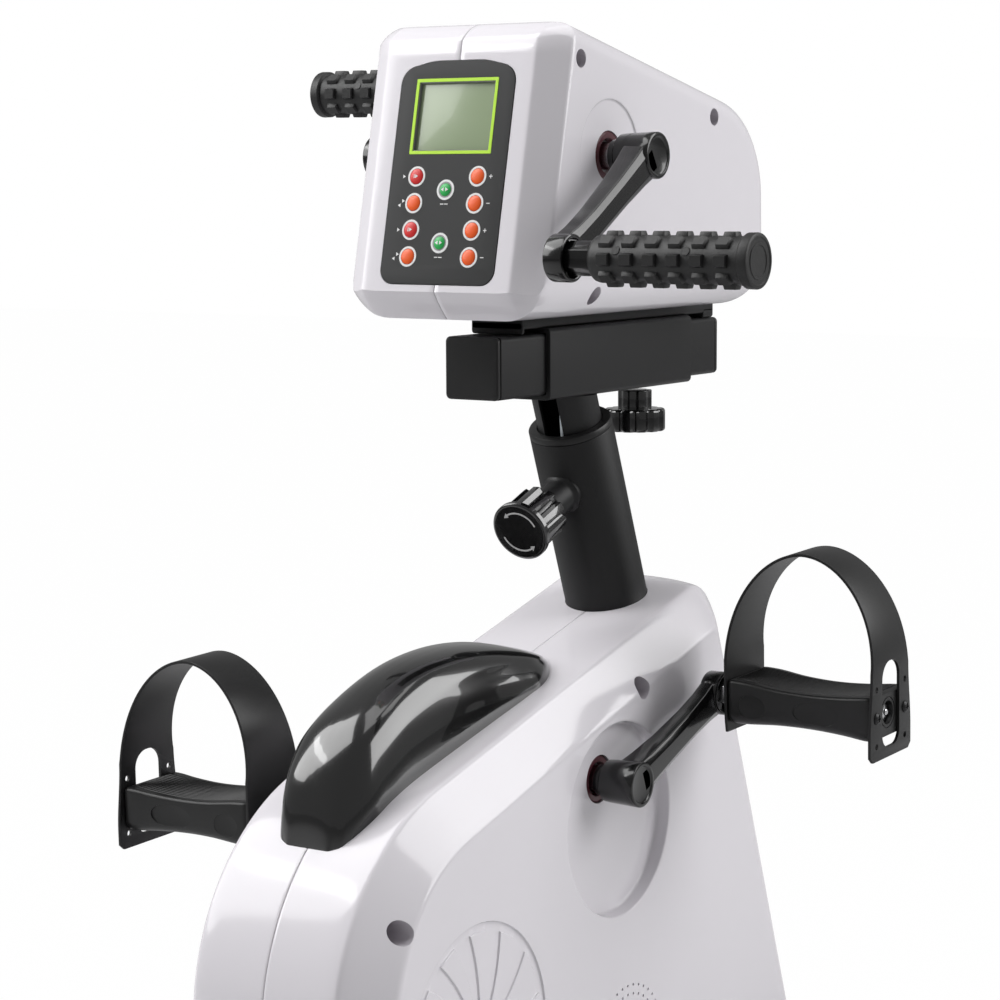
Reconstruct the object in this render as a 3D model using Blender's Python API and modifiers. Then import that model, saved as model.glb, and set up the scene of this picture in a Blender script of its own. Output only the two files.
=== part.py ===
"""Motorized hand and foot pedal exerciser.

A moulded floor unit drives a pair of foot cranks, and a sloping post carries a sliding console
head with a pair of hand cranks. Metres. +X is the user's right, +Y points away from the user
and +Z is up. The origin lies on the floor, under both crank axles.
"""

import math

import bmesh
import bpy
from mathutils import Matrix, Vector

# Clearances and walls
GAP = 0.0003
WALL = 0.003
SIDES = (("right", 1), ("left", -1))

# Floor frame
FOOT_LIFT = 0.008
RAIL_Y = 0.299
RAIL_DEPTH = 0.050
RAIL_HEIGHT = 0.030
RAIL_HALF_LENGTH = 0.180
RAIL_WALL = 0.0025
RAIL_TOP = FOOT_LIFT + RAIL_HEIGHT
CAP_THICKNESS = 0.018
CAP_MARGIN = 0.003
CAP_PLUG = 0.020
SPINE_WIDTH = 0.060
TRAY_THICKNESS = 0.003
TRAY_BOTTOM = RAIL_TOP + GAP
TRAY_TOP = TRAY_BOTTOM + TRAY_THICKNESS

# Lower body, seen from the side
BODY_FRONT_Y = -0.2743
BODY_BOTTOM = TRAY_TOP + GAP
TOP_HEIGHT = 0.3591
TOP_SLOPE = 0.277
NOSE_RADIUS = 0.140
REAR_FOOT_Y = 0.3197
REAR_SLOPE = 0.38
TAIL_RADIUS = 0.040

# Lower body, seen in section
BAND_HALF = 0.053
CHAMFER_RISE = 1.35
CHAMFER_REACH = 0.092
REAR_PLAN_RADIUS = 0.118
FLARE = tuple((TOP_HEIGHT + rise, half) for rise, half in (
    (0.0709, 0.0730), (-0.0141, 0.0733), (-0.0411, 0.0745), (-0.0691, 0.0758), (-0.1091, 0.0770),
    (-0.1591, 0.0783), (-0.2191, 0.0797), (-0.2791, 0.0806), (-0.4200, 0.0812)))

# Foot crank recess and screw pockets of the lower body
FOOT_AXLE_DROP = 0.0691
FOOT_AXLE_Z = TOP_HEIGHT - FOOT_AXLE_DROP
RECESS_Y = 0.0127
RECESS_DROP = 0.0286
RECESS_Z = FOOT_AXLE_Z - RECESS_DROP
RECESS_RADIUS = 0.065
RECESS_FLOOR_X = 0.0668
AXLE_HOLE_RADIUS = 0.0162
BODY_SCREWS = ((0.0458, TOP_HEIGHT - 0.0117), (-0.2340, TOP_HEIGHT - 0.1161))
BODY_SCREW_RADIUS = 0.0062
BODY_SCREW_FLOOR_X = 0.060

# Fender cover on the band
FENDER_FRONT_Y = -0.2275
FENDER_REAR_Y = 0.0220
FENDER_HALF = 0.0375
FENDER_WALL = 0.0025
FENDER_SKIRT = 0.110
FENDER_NOSE = 0.040
FENDER_TAIL = 0.046
FENDER_TIP_HALF = 0.006
FENDER_CROWN = tuple((y, TOP_HEIGHT + rise) for y, rise in (
    (-0.2300, -0.0551), (-0.2240, -0.0316), (-0.2050, -0.0086), (-0.1730, 0.0094),
    (-0.1350, 0.0219), (-0.0950, 0.0264), (-0.0570, 0.0239), (-0.0070, 0.0144),
    (FENDER_REAR_Y, 0.0064)))

# Post, mast and their bushing
POST_FOOT_Y = 0.2695
POST_LEAN = math.radians(20.97)
POST_RADIUS = 0.029
POST_WALL = 0.003
POST_RISE = 0.1593
POST_RIM_Z = TOP_HEIGHT + POST_RISE
BUSH_FLANGE = 0.005
BUSH_DEPTH = 0.040
MAST_RADIUS = 0.02225
MAST_WALL = 0.0025
MAST_TRAVEL = 0.120
MAST_ENGAGED = 0.230
MAST_SLOT_WIDTH = 0.015
MAST_SLOT_DROP = 0.030
HOLE_PITCH = 0.030
HOLE_RADIUS = 0.0045
WIRE_RADIUS = 0.002

# Height knob on the post
KNOB_DROP = 0.0390
KNOB_STATION_Z = POST_RIM_Z - KNOB_DROP
KNOB_BOSS_RADIUS = 0.0118
KNOB_BOSS_REACH = 0.049
KNOB_FACE = 0.0842
KNOB_LENGTH = 0.031
KNOB_RADIUS = 0.0200
KNOB_FLUTES = 10
PIN_RADIUS = 0.004

# Slide under the head
SLEEVE_SIZE = 0.048
SLEEVE_LIFT = 0.0200
SLEEVE_BOTTOM = POST_RIM_Z + SLEEVE_LIFT
SLEEVE_FRONT_Y = 0.0083
SLEEVE_REAR_Y = 0.1978
TUBE_SIZE = 0.041
TUBE_WALL = 0.002
TUBE_FRONT_Y = -0.0452
TUBE_REAR_Y = 0.2388
TUBE_CAP = 0.004
SLIDE_TRAVEL = 0.024
CLAMP_Y = 0.1588
CLAMP_WHEEL_RADIUS = 0.0218
CLAMP_DROP = 0.0330
CLAMP_WHEEL_BOTTOM = SLEEVE_BOTTOM - CLAMP_DROP
CLAMP_WHEEL_HEIGHT = 0.016
CLAMP_STEM_RADIUS = 0.0120
CLAMP_SCREW_RADIUS = 0.004
CLAMP_FLUTES = 12
CLAMP_BOSS = 0.0035
CLAMP_BOSS_RADIUS = 0.009
BRACKET_HALF = 0.020
BRACKET_HEIGHT = 0.0090
BRACKET_END = 0.002

# Console head, seen from the side
HEAD_BOTTOM = SLEEVE_BOTTOM + SLEEVE_SIZE + BRACKET_HEIGHT
HEAD_FRONT_FOOT_Y = -0.0941
HEAD_FRONT_SLOPE = 0.1754
HEAD_RISE = 0.1776
HEAD_TOP_HEIGHT = HEAD_BOTTOM + HEAD_RISE
HEAD_TOP_SLOPE = -0.229
HEAD_REAR_TOP_Y = 0.2170
HEAD_REAR_KNEE = (0.2190, HEAD_BOTTOM + 0.0440)
HEAD_REAR_FOOT_Y = 0.2080
HEAD_HALF = 0.0760
HEAD_FLAT_HALF = 0.056
HEAD_CHAMFER_RISE = 1.25
HEAD_AXLE_RISE = 0.1033
HEAD_AXLE_Z = HEAD_BOTTOM + HEAD_AXLE_RISE
HEAD_RING_RADIUS = 0.036
HEAD_RING_DEPTH = 0.0012
HEAD_SCREWS = ((-0.0353, HEAD_TOP_HEIGHT - 0.0136), (0.1377, HEAD_TOP_HEIGHT - 0.0476),
               (-0.0113, HEAD_BOTTOM + 0.0140))
HEAD_SCREW_RADIUS = 0.0060
HEAD_SCREW_FLOOR_X = 0.064

# Console panel, in its own plane: u to the right, v up the face, n outwards
PANEL_RISE = 0.0933
PANEL_Z = HEAD_BOTTOM + PANEL_RISE
PANEL_WIDTH = 0.084
PANEL_HEIGHT = 0.145
PANEL_SINK = 0.0016
PANEL_PROUD = 0.0004
LCD_V = 0.0359
LCD_WIDTH = 0.061
LCD_HEIGHT = 0.0485
LCD_LINE = 0.0023
LCD_SINK = 0.0016
LCD_THICKNESS = 0.0024
BUTTON_RADIUS = 0.00525
BUTTON_PROUD = 0.0015
BUTTON_EDGE = 0.0004
BUTTON_SEGMENTS = 18
BUTTON_TRAVEL = 0.0010
BUTTON_U = 0.0232
BUTTON_PITCH = 0.01725
BUTTON_TOP_V = -0.0025
MODE_V = (-0.0114, -0.0452)

# Cranks: the same arm on all four ends; x runs outwards from the hub's inner face
CRANK_RADIUS = 0.120
CRANK_WIDTH = 0.027
CRANK_HUB_RADIUS = 0.0150
CRANK_END_RADIUS = 0.0148
CRANK_END_INNER = 0.0135
CRANK_AXLE_DEPTH = 0.022
HUB_RIM_RADIUS = 0.0120
HUB_DISH = 0.0010
CUP_RADIUS = 0.0120
CUP_DEPTH = 0.006
FOOT_HUB_X = 0.0733
HAND_HUB_X = 0.0840
FOOT_CRANK_ANGLE = math.radians(20.7)
HAND_CRANK_ANGLE = math.radians(211.1)
LEFT_ARM_OFFSET = math.radians(-8.0)
AXLE_RADIUS = 0.009
HEX_RADIUS = 0.0108
HAND_HEX_LENGTH = 0.0165
SPINDLE_RADIUS = 0.006

# Hand grips
GRIP_LENGTH = 0.110
GRIP_RADIUS = 0.0150
GRIP_LUG_RADIUS = 0.0168
GRIP_END_WALL = 0.0120
GRIP_LUG_COLUMNS = 6
GRIP_LUG_ROWS = 8
GRIP_LUG_START = 0.0086
GRIP_LUG_PITCH = 0.0159
GRIP_LUG_LENGTH = 0.0085
GRIP_LUG_HALF = 0.0034

# Pedals and their straps
PEDAL_INNER_X = 0.116
PEDAL_LENGTH = 0.106
PEDAL_DEPTH = 0.0544
PEDAL_THICKNESS = 0.0315
PEDAL_EYE_RADIUS = 0.0105
PEDAL_LEAN = math.radians(1.5)
STRAP_THICKNESS = 0.0020
STRAP_TOP = 0.104
STRAP_BASE_WIDTH = 0.055
STRAP_TOP_WIDTH = 0.040
STRAP_FOOT_WIDTH = 0.062
STRAP_LEG_TOP = 0.030
STRAP_OUTER_FOOT = -0.029
STRAP_INNER_FOOT = -0.020
WINDOW_HALF = 0.0130
WINDOW_TOP = 0.0355
WINDOW_FOOT = -0.0220

# Drive units, seals and electrics
GEARBOX_HALF = 0.040
BEARING_RADIUS = 0.0155
SEAL_INNER_RADIUS = 0.0110
SEAL_LENGTH = 0.0055
MOTOR_RADIUS = 0.028
MOTOR_LENGTH = 0.085
MOTOR_DROP = 0.012
HAND_GEARBOX_HALF = 0.034
HAND_MOTOR_RADIUS = 0.026
HAND_MOTOR_LENGTH = 0.100
TOWER_HALF = 0.032
TOWER_PLATE = 0.004
BOARD_Y = -0.200
BOARD_LENGTH = 0.080
BOARD_WIDTH = 0.080
BOARD_LIFT = 0.008
BOARD_THICKNESS = 0.002
PILLAR_RADIUS = 0.003
INLET_Y = 0.170
INLET_Z = 0.085
INLET_WIDTH = 0.056
INLET_HEIGHT = 0.032
INLET_SEAT_X = 0.0796
INLET_DEPTH = 0.022
INLET_FLANGE = 0.0022
ROCKER_RADIUS = 0.011
ROCKER_WIDTH = 0.013
ROCKER_OFFSET = 0.013
ROCKER_SWING = math.radians(14.0)

ARC_STEP = math.radians(9.0)

for leftover in list(bpy.data.objects):
    bpy.data.objects.remove(leftover, do_unlink=True)

model = bpy.data.collections.new("pedal_exerciser")
cutters = bpy.data.collections.new("cutters")
bpy.context.scene.collection.children.link(model)
bpy.context.scene.collection.children.link(cutters)


def material(name, colour, roughness, metallic=0.0):
    """A Principled material of one colour."""
    made = bpy.data.materials.new(name)
    made.use_nodes = True
    shader = made.node_tree.nodes["Principled BSDF"]
    shader.inputs["Base Color"].default_value = (*colour, 1.0)
    shader.inputs["Roughness"].default_value = roughness
    shader.inputs["Metallic"].default_value = metallic
    return made


WHITE_ABS = material("white_abs", (0.80, 0.79, 0.83), 0.25)
GLOSS_BLACK = material("gloss_black_abs", (0.012, 0.012, 0.013), 0.15)
SATIN_BLACK = material("satin_black_nylon", (0.020, 0.020, 0.021), 0.42)
RUBBER_BLACK = material("black_rubber", (0.022, 0.022, 0.022), 0.60)
BLACK_STEEL = material("black_painted_steel", (0.018, 0.018, 0.018), 0.45, 0.2)
BRIGHT_STEEL = material("bright_steel", (0.62, 0.62, 0.62), 0.25, 1.0)
MAROON = material("maroon_seal", (0.090, 0.012, 0.018), 0.40)
CHARCOAL = material("charcoal_panel", (0.030, 0.030, 0.032), 0.45)
LIME = material("lime_frame", (0.45, 0.72, 0.02), 0.40)
LCD_GREEN = material("lcd_glass", (0.30, 0.42, 0.25), 0.12)
RED = material("red_button", (0.68, 0.03, 0.03), 0.40)
ORANGE = material("orange_button", (0.90, 0.13, 0.02), 0.40)
GREEN = material("green_button", (0.02, 0.38, 0.09), 0.40)
CAST_GREY = material("cast_aluminium", (0.45, 0.45, 0.46), 0.45, 0.9)
BOARD_GREEN = material("circuit_board", (0.02, 0.20, 0.07), 0.50)
WIRE_WHITE = material("wire_white", (0.72, 0.80, 0.84), 0.40)


def axis_empty(name, location, rotation_x=0.0, parent=None):
    """An empty on a joint's axis; its children are modelled in its own frame."""
    empty = bpy.data.objects.new(name, None)
    empty.empty_display_size = 0.02
    model.objects.link(empty)
    empty.parent = parent
    empty.location = location
    empty.rotation_euler = (rotation_x, 0.0, 0.0)
    return empty


def finish_mesh(bm, name, weld=0.0):
    """Weld, turn the faces outwards and hand back a mesh."""
    if weld:
        bmesh.ops.remove_doubles(bm, verts=bm.verts, dist=weld)
    bmesh.ops.recalc_face_normals(bm, faces=bm.faces)
    mesh = bpy.data.meshes.new(name)
    bm.to_mesh(mesh)
    bm.free()
    return mesh


def box_mesh(low, high):
    """A box between two corners."""
    bm = bmesh.new()
    bmesh.ops.create_cube(bm, size=1.0)
    size = [abs(b - a) for a, b in zip(low, high)]
    middle = [(a + b) / 2 for a, b in zip(low, high)]
    bmesh.ops.scale(bm, vec=size, verts=bm.verts)
    bmesh.ops.translate(bm, vec=middle, verts=bm.verts)
    return finish_mesh(bm, "box")


def rod_mesh(start, end, radius, segments=24, end_radius=None):
    """A cylinder or cone between two points."""
    start, end = Vector(start), Vector(end)
    way = end - start
    bm = bmesh.new()
    bmesh.ops.create_cone(bm, cap_ends=True, segments=segments, radius1=radius,
                          radius2=radius if end_radius is None else end_radius,
                          depth=way.length)
    turn = Vector((0, 0, 1)).rotation_difference(way.normalized()).to_matrix().to_4x4()
    bmesh.ops.transform(bm, matrix=Matrix.Translation((start + end) / 2) @ turn, verts=bm.verts)
    return finish_mesh(bm, "rod")


def turned_mesh(profile, origin, direction, steps=24):
    """A profile of (radius, height) pairs, top to bottom, turned round a direction."""
    mesh = bpy.data.meshes.new("profile")
    mesh.from_pydata([(r, 0.0, h) for r, h in profile],
                     [(i, i + 1) for i in range(len(profile) - 1)], [])
    holder = bpy.data.objects.new("profile", mesh)
    cutters.objects.link(holder)
    screw = holder.modifiers.new("turn", "SCREW")
    screw.axis = "Z"
    screw.steps = screw.render_steps = steps
    screw.use_merge_vertices = True
    screw.merge_threshold = 0.00001
    bm = evaluated_bmesh(holder)
    turn = Vector((0, 0, 1)).rotation_difference(Vector(direction)).to_matrix().to_4x4()
    bmesh.ops.transform(bm, matrix=Matrix.Translation(origin) @ turn, verts=bm.verts)
    return finish_mesh(bm, "turned", weld=0.00002)


def evaluated_bmesh(holder):
    """The evaluated mesh of a helper object, which is then removed."""
    bpy.context.view_layer.update()
    graph = bpy.context.evaluated_depsgraph_get()
    solid = bpy.data.meshes.new_from_object(holder.evaluated_get(graph))
    bm = bmesh.new()
    bm.from_mesh(solid)
    bpy.data.objects.remove(holder, do_unlink=True)
    bpy.data.meshes.remove(solid)
    return bm


def plate_mesh(outline, thickness, placing, holes=()):
    """A flat outline (with holes) given a thickness, centred on its plane, then placed."""
    curve = bpy.data.curves.new("outline", "CURVE")
    curve.dimensions = "2D"
    curve.fill_mode = "BOTH"
    curve.extrude = thickness / 2
    for loop in (outline, *holes):
        spline = curve.splines.new("POLY")
        spline.points.add(len(loop) - 1)
        for point, (a, b) in zip(spline.points, loop):
            point.co = (a, b, 0.0, 1.0)
        spline.use_cyclic_u = True
    holder = bpy.data.objects.new("outline", curve)
    cutters.objects.link(holder)
    bm = evaluated_bmesh(holder)
    bmesh.ops.transform(bm, matrix=placing, verts=bm.verts)
    return finish_mesh(bm, "plate", weld=0.00001)


def wire_mesh(points, radius):
    """A thin round wire through a list of points."""
    curve = bpy.data.curves.new("wire", "CURVE")
    curve.dimensions = "3D"
    curve.bevel_depth = radius
    curve.bevel_resolution = 2
    curve.use_fill_caps = True
    spline = curve.splines.new("POLY")
    spline.points.add(len(points) - 1)
    for point, place in zip(spline.points, points):
        point.co = (*place, 1.0)
    holder = bpy.data.objects.new("wire", curve)
    cutters.objects.link(holder)
    return finish_mesh(evaluated_bmesh(holder), "wire", weld=0.00001)


def loft_mesh(rings):
    """A closed solid through rings of equal point counts, with flat ends."""
    bm = bmesh.new()
    rows = [[bm.verts.new(point) for point in ring] for ring in rings]
    count = len(rows[0])
    for row, following in zip(rows, rows[1:]):
        for i in range(count):
            j = (i + 1) % count
            bm.faces.new((row[i], row[j], following[j], following[i]))
    bm.faces.new(rows[0][::-1])
    bm.faces.new(rows[-1])
    return finish_mesh(bm, "loft", weld=0.000001)


def show_round(mesh, angle=32.0):
    """Shade round surfaces smooth and keep the sharp edges."""
    mesh.shade_smooth()
    mesh.set_sharp_from_angle(angle=math.radians(angle))


def piece(name, mesh, finish, parent=None):
    """One named part of the model."""
    mesh.name = name
    show_round(mesh)
    made = bpy.data.objects.new(name, mesh)
    mesh.materials.clear()
    mesh.materials.append(finish)
    model.objects.link(made)
    made.parent = parent
    return made


def combine(target, mesh, operation):
    """Cut a mesh from a piece, add it or keep what both share; both lie in the same frame."""
    tool = bpy.data.objects.new(target.name + "_" + operation.lower(), mesh)
    cutters.objects.link(tool)
    tool.parent = target.parent
    tool.hide_render = True
    tool.display_type = "WIRE"
    step = target.modifiers.new(operation.lower(), "BOOLEAN")
    step.operation = operation
    step.solver = "EXACT"
    step.object = tool


def cut(target, *meshes):
    """Take each mesh out of a piece."""
    for mesh in meshes:
        combine(target, mesh, "DIFFERENCE")


def join(target, *meshes):
    """Add each mesh to a piece."""
    for mesh in meshes:
        combine(target, mesh, "UNION")


def boolean_mesh(base, tool, operation):
    """The mesh that two meshes make, for use as a cutter or a start."""
    holder = bpy.data.objects.new("base", base)
    other = bpy.data.objects.new("tool", tool)
    for thing in (holder, other):
        cutters.objects.link(thing)
    step = holder.modifiers.new("step", "BOOLEAN")
    step.operation = operation
    step.solver = "EXACT"
    step.object = other
    bm = evaluated_bmesh(holder)
    bpy.data.objects.remove(other, do_unlink=True)
    return finish_mesh(bm, "result", weld=0.000001)


def rounded(corners):
    """A closed outline from (a, b, radius) corners, each radius drawn as an arc."""
    points = []
    for k, (a, b, radius) in enumerate(corners):
        here = Vector((a, b))
        before = (Vector(corners[k - 1][:2]) - here).normalized()
        after = (Vector(corners[(k + 1) % len(corners)][:2]) - here).normalized()
        half = before.angle(after) / 2
        if radius < 0.0002:
            points.append((a, b))
            continue
        centre = here + (before + after).normalized() * radius / math.sin(half)
        start = here + before * radius / math.tan(half) - centre
        sweep = math.pi - 2 * half
        turn = 1 if before.cross(after) < 0 else -1
        steps = max(2, round(sweep / ARC_STEP))
        for i in range(steps + 1):
            angle = turn * sweep * i / steps
            points.append((centre.x + start.x * math.cos(angle) - start.y * math.sin(angle),
                           centre.y + start.x * math.sin(angle) + start.y * math.cos(angle)))
    return points


def inset_corners(corners, distances):
    """Move side k (from corner k to the next) inwards by its distance; arcs stay tangent."""
    moved = []
    for k, (a, b, radius) in enumerate(corners):
        lines = []
        for first in (k - 1, k):
            p = Vector(corners[first][:2])
            q = Vector(corners[(first + 1) % len(corners)][:2])
            way = (q - p).normalized()
            inward = Vector((-way.y, way.x))
            lines.append((p + inward * distances[first], way))
        (p, v), (q, w) = lines
        along = (q - p).cross(w) / v.cross(w)
        place = p + v * along
        shrink = (distances[k - 1] + distances[k]) / 2
        moved.append((place.x, place.y, max(radius - shrink, 0.0006) if radius else 0.0))
    return moved


def arc_outline(corners, template):
    """An outline with as many points per arc as the template outline's arcs have."""
    points = []
    for k, (a, b, radius) in enumerate(corners):
        here = Vector((a, b))
        before = (Vector(corners[k - 1][:2]) - here).normalized()
        after = (Vector(corners[(k + 1) % len(corners)][:2]) - here).normalized()
        half = before.angle(after) / 2
        if not template[k]:
            points.append((a, b))
            continue
        centre = here + (before + after).normalized() * radius / math.sin(half)
        start = here + before * radius / math.tan(half) - centre
        sweep = math.pi - 2 * half
        turn = 1 if before.cross(after) < 0 else -1
        for i in range(template[k] + 1):
            angle = turn * sweep * i / template[k]
            points.append((centre.x + start.x * math.cos(angle) - start.y * math.sin(angle),
                           centre.y + start.x * math.sin(angle) + start.y * math.cos(angle)))
    return points


def side_loft(side, corners, steps, stations):
    """A half housing: side-view outlines at stations (x, inset of each side) across X."""
    rings = []
    for x, insets in stations:
        outline = arc_outline(inset_corners(corners, insets), steps)
        rings.append([(side * x, y, z) for y, z in outline])
    return loft_mesh(rings)


def top_z(y):
    """Height of the lower body's straight top at y."""
    return TOP_HEIGHT + TOP_SLOPE * y


def rear_y(z):
    """The lower body's rear line at height z."""
    return REAR_FOOT_Y - REAR_SLOPE * z


def post_y(z):
    """The post's axis at height z."""
    return POST_FOOT_Y - math.tan(POST_LEAN) * z


def flare_x(z):
    """Half width of the lower body's side face at height z."""
    for (high, wide), (low, wider) in zip(FLARE, FLARE[1:]):
        if low <= z <= high:
            return wide + (wider - wide) * (high - z) / (high - low)
    return FLARE[-1][1]


UP_POST = Vector((0.0, -math.sin(POST_LEAN), math.cos(POST_LEAN)))
OUT_KNOB = Vector((0.0, -math.cos(POST_LEAN), -math.sin(POST_LEAN)))
NOSE_STEPS = 12
TAIL_STEPS = 8


def body_corners():
    """Side view of the lower body: bottom front, nose, tail and bottom rear corners."""
    nose_z = top_z(BODY_FRONT_Y)
    tail_z = (TOP_HEIGHT + TOP_SLOPE * REAR_FOOT_Y) / (1 + TOP_SLOPE * REAR_SLOPE)
    return [(BODY_FRONT_Y, BODY_BOTTOM, 0.0),
            (rear_y(BODY_BOTTOM), BODY_BOTTOM, 0.0),
            (rear_y(tail_z), tail_z, TAIL_RADIUS),
            (BODY_FRONT_Y, nose_z, NOSE_RADIUS)]


def body_solid(side, inner=0.0):
    """Half of the lower body's outer solid, or of its cavity when inner is the wall."""
    corners = body_corners()
    if inner:
        corners = inset_corners(corners, (-RAIL_DEPTH / 2, inner, inner, inner))
    band = BAND_HALF - inner * 0.45
    stations = []
    chamfer = CHAMFER_REACH - BAND_HALF
    for x in [BAND_HALF * share for share in (0.0, 0.38, 0.7)] + [
            BAND_HALF + chamfer * share for share in (0.0, 0.13, 0.28, 0.51, 1.0)]:
        across = x - (BAND_HALF - band) if x else 0.0
        rise = max(0.0, across - band) * CHAMFER_RISE
        plan = REAR_PLAN_RADIUS - math.sqrt(REAR_PLAN_RADIUS ** 2 - across ** 2)
        start = -3 * WALL if inner else GAP / 2
        stations.append((across if x else start, (0.0, plan + 0.6 * rise, rise, rise)))
    slab = side_loft(side, corners, (0, 0, TAIL_STEPS, NOSE_STEPS), stations)
    section = [(side * (x - inner), z) for z, x in FLARE]
    section += [(-side * BAND_HALF / 2, FLARE[-1][0]), (-side * BAND_HALF / 2, FLARE[0][0])]
    placing = Matrix(((1, 0, 0, 0), (0, 0, -1, 0), (0, 1, 0, 0), (0, 0, 0, 1)))
    return boolean_mesh(slab, plate_mesh(section, 2.2 * REAR_FOOT_Y, placing), "INTERSECT")


def recess_rod(side, floor, radius, y, z, segments=16):
    """A round pocket or cup along X from its floor outwards."""
    return rod_mesh((side * floor, y, z), (side * (floor + BAND_HALF), y, z), radius, segments)


def lower_shells():
    """Two moulded halves, open at the seam and the bottom, with the crank recess."""
    low, high = FOOT_AXLE_Z, POST_RIM_Z
    post_cut = rod_mesh(Vector((0, post_y(low), low)), Vector((0, post_y(high), high)),
                        POST_RADIUS + GAP, 32)
    for word, side in SIDES:
        shell = piece("lower_shell_" + word, body_solid(side), WHITE_ABS)
        cavity = body_solid(side, WALL)
        cup = recess_rod(side, RECESS_FLOOR_X - WALL, RECESS_RADIUS + WALL, RECESS_Y, RECESS_Z, 36)
        cavity = boolean_mesh(cavity, cup, "DIFFERENCE")
        for y, z in BODY_SCREWS:
            boss = recess_rod(side, BODY_SCREW_FLOOR_X - WALL, BODY_SCREW_RADIUS + 0.002, y, z)
            cavity = boolean_mesh(cavity, boss, "DIFFERENCE")
        cut(shell, cavity)
        cut(shell, recess_rod(side, RECESS_FLOOR_X, RECESS_RADIUS, RECESS_Y, RECESS_Z, 40))
        cut(shell, recess_rod(side, RECESS_FLOOR_X - 2 * WALL, AXLE_HOLE_RADIUS, 0,
                              FOOT_AXLE_Z, 32))
        for y, z in BODY_SCREWS:
            cut(shell, recess_rod(side, BODY_SCREW_FLOOR_X, BODY_SCREW_RADIUS, y, z))
        cut(shell, post_cut.copy())
        if side < 0:
            half_y, half_z = INLET_WIDTH / 2, INLET_HEIGHT / 2
            outside, inside = -2 * INLET_SEAT_X, -INLET_SEAT_X + 3 * WALL
            cut(shell, box_mesh((outside, INLET_Y - half_y - GAP, INLET_Z - half_z - GAP),
                                (-INLET_SEAT_X, INLET_Y + half_y + GAP, INLET_Z + half_z + GAP)))
            cut(shell, box_mesh((outside, INLET_Y - half_y + WALL, INLET_Z - half_z + WALL),
                                (inside, INLET_Y + half_y - WALL, INLET_Z + half_z - WALL)))


def floor_frame():
    """Two floor rails with end caps, and the welded spine, tray and motor tower."""
    yz_plane = Matrix(((0, 0, 1, 0), (1, 0, 0, 0), (0, 1, 0, 0), (0, 0, 0, 1)))
    half_depth = RAIL_DEPTH / 2
    for word, end in (("front", -1), ("rear", 1)):
        y = end * RAIL_Y
        rail = piece(word + "_rail",
                     box_mesh((-RAIL_HALF_LENGTH, y - half_depth, FOOT_LIFT),
                              (RAIL_HALF_LENGTH, y + half_depth, RAIL_TOP)), BLACK_STEEL)
        bore = box_mesh((-1, y - half_depth + RAIL_WALL, FOOT_LIFT + RAIL_WALL),
                        (1, y + half_depth - RAIL_WALL, RAIL_TOP - RAIL_WALL))
        cut(rail, bore)
        for hand, side in SIDES:
            wide = half_depth + CAP_MARGIN
            outline = rounded([(y - wide, 0.0, 0.0), (y + wide, 0.0, 0.0),
                               (y + wide, RAIL_TOP + CAP_MARGIN, 0.010),
                               (y - wide, RAIL_TOP + CAP_MARGIN, 0.010)])
            inner_x = RAIL_HALF_LENGTH + GAP
            placing = Matrix.Translation((side * (inner_x + CAP_THICKNESS / 2), 0, 0)) @ yz_plane
            cap = piece(f"foot_cap_{word}_{hand}", plate_mesh(outline, CAP_THICKNESS, placing),
                        RUBBER_BLACK)
            slack = RAIL_WALL + GAP
            join(cap, box_mesh((side * (inner_x - CAP_PLUG), y - half_depth + slack,
                                FOOT_LIFT + slack),
                               (side * (inner_x + CAP_THICKNESS / 2), y + half_depth - slack,
                                RAIL_TOP - slack)))
    spine_end = RAIL_Y - half_depth - GAP
    frame = piece("base_frame", box_mesh((-SPINE_WIDTH / 2, -spine_end, FOOT_LIFT),
                                         (SPINE_WIDTH / 2, spine_end, TRAY_BOTTOM + 0.001)),
                  BLACK_STEEL)
    tray_half = flare_x(BODY_BOTTOM)
    front_step = (tray_half - BAND_HALF) * CHAMFER_RISE
    rear = rear_y(BODY_BOTTOM)
    rear_side = rear - RAIL_DEPTH
    tray = [(-BAND_HALF, BODY_FRONT_Y), (BAND_HALF, BODY_FRONT_Y),
            (tray_half, BODY_FRONT_Y + front_step), (tray_half, rear_side)]
    for share in (0.74, 0.49, 0.25, 0.0, -0.25, -0.49, -0.74):
        x = share * tray_half
        plan = REAR_PLAN_RADIUS - math.sqrt(REAR_PLAN_RADIUS ** 2 - x ** 2)
        tray.append((x, rear - plan - 0.6 * CHAMFER_RISE * max(0.0, abs(x) - BAND_HALF)))
    tray += [(-tray_half, rear_side), (-tray_half, BODY_FRONT_Y + front_step)]
    middle = Matrix.Translation((0, 0, (TRAY_BOTTOM + TRAY_TOP) / 2))
    join(frame, plate_mesh(tray, TRAY_THICKNESS, middle))
    tower_top = FOOT_AXLE_Z - GEARBOX_HALF - GAP
    for side in (1, -1):
        join(frame, box_mesh((side * (TOWER_HALF - TOWER_PLATE), -TOWER_HALF, TRAY_TOP - 0.001),
                             (side * TOWER_HALF, TOWER_HALF, tower_top - 0.001)))
    join(frame, box_mesh((-TOWER_HALF, -TOWER_HALF, tower_top - TOWER_PLATE),
                         (TOWER_HALF, TOWER_HALF, tower_top)))


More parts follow.
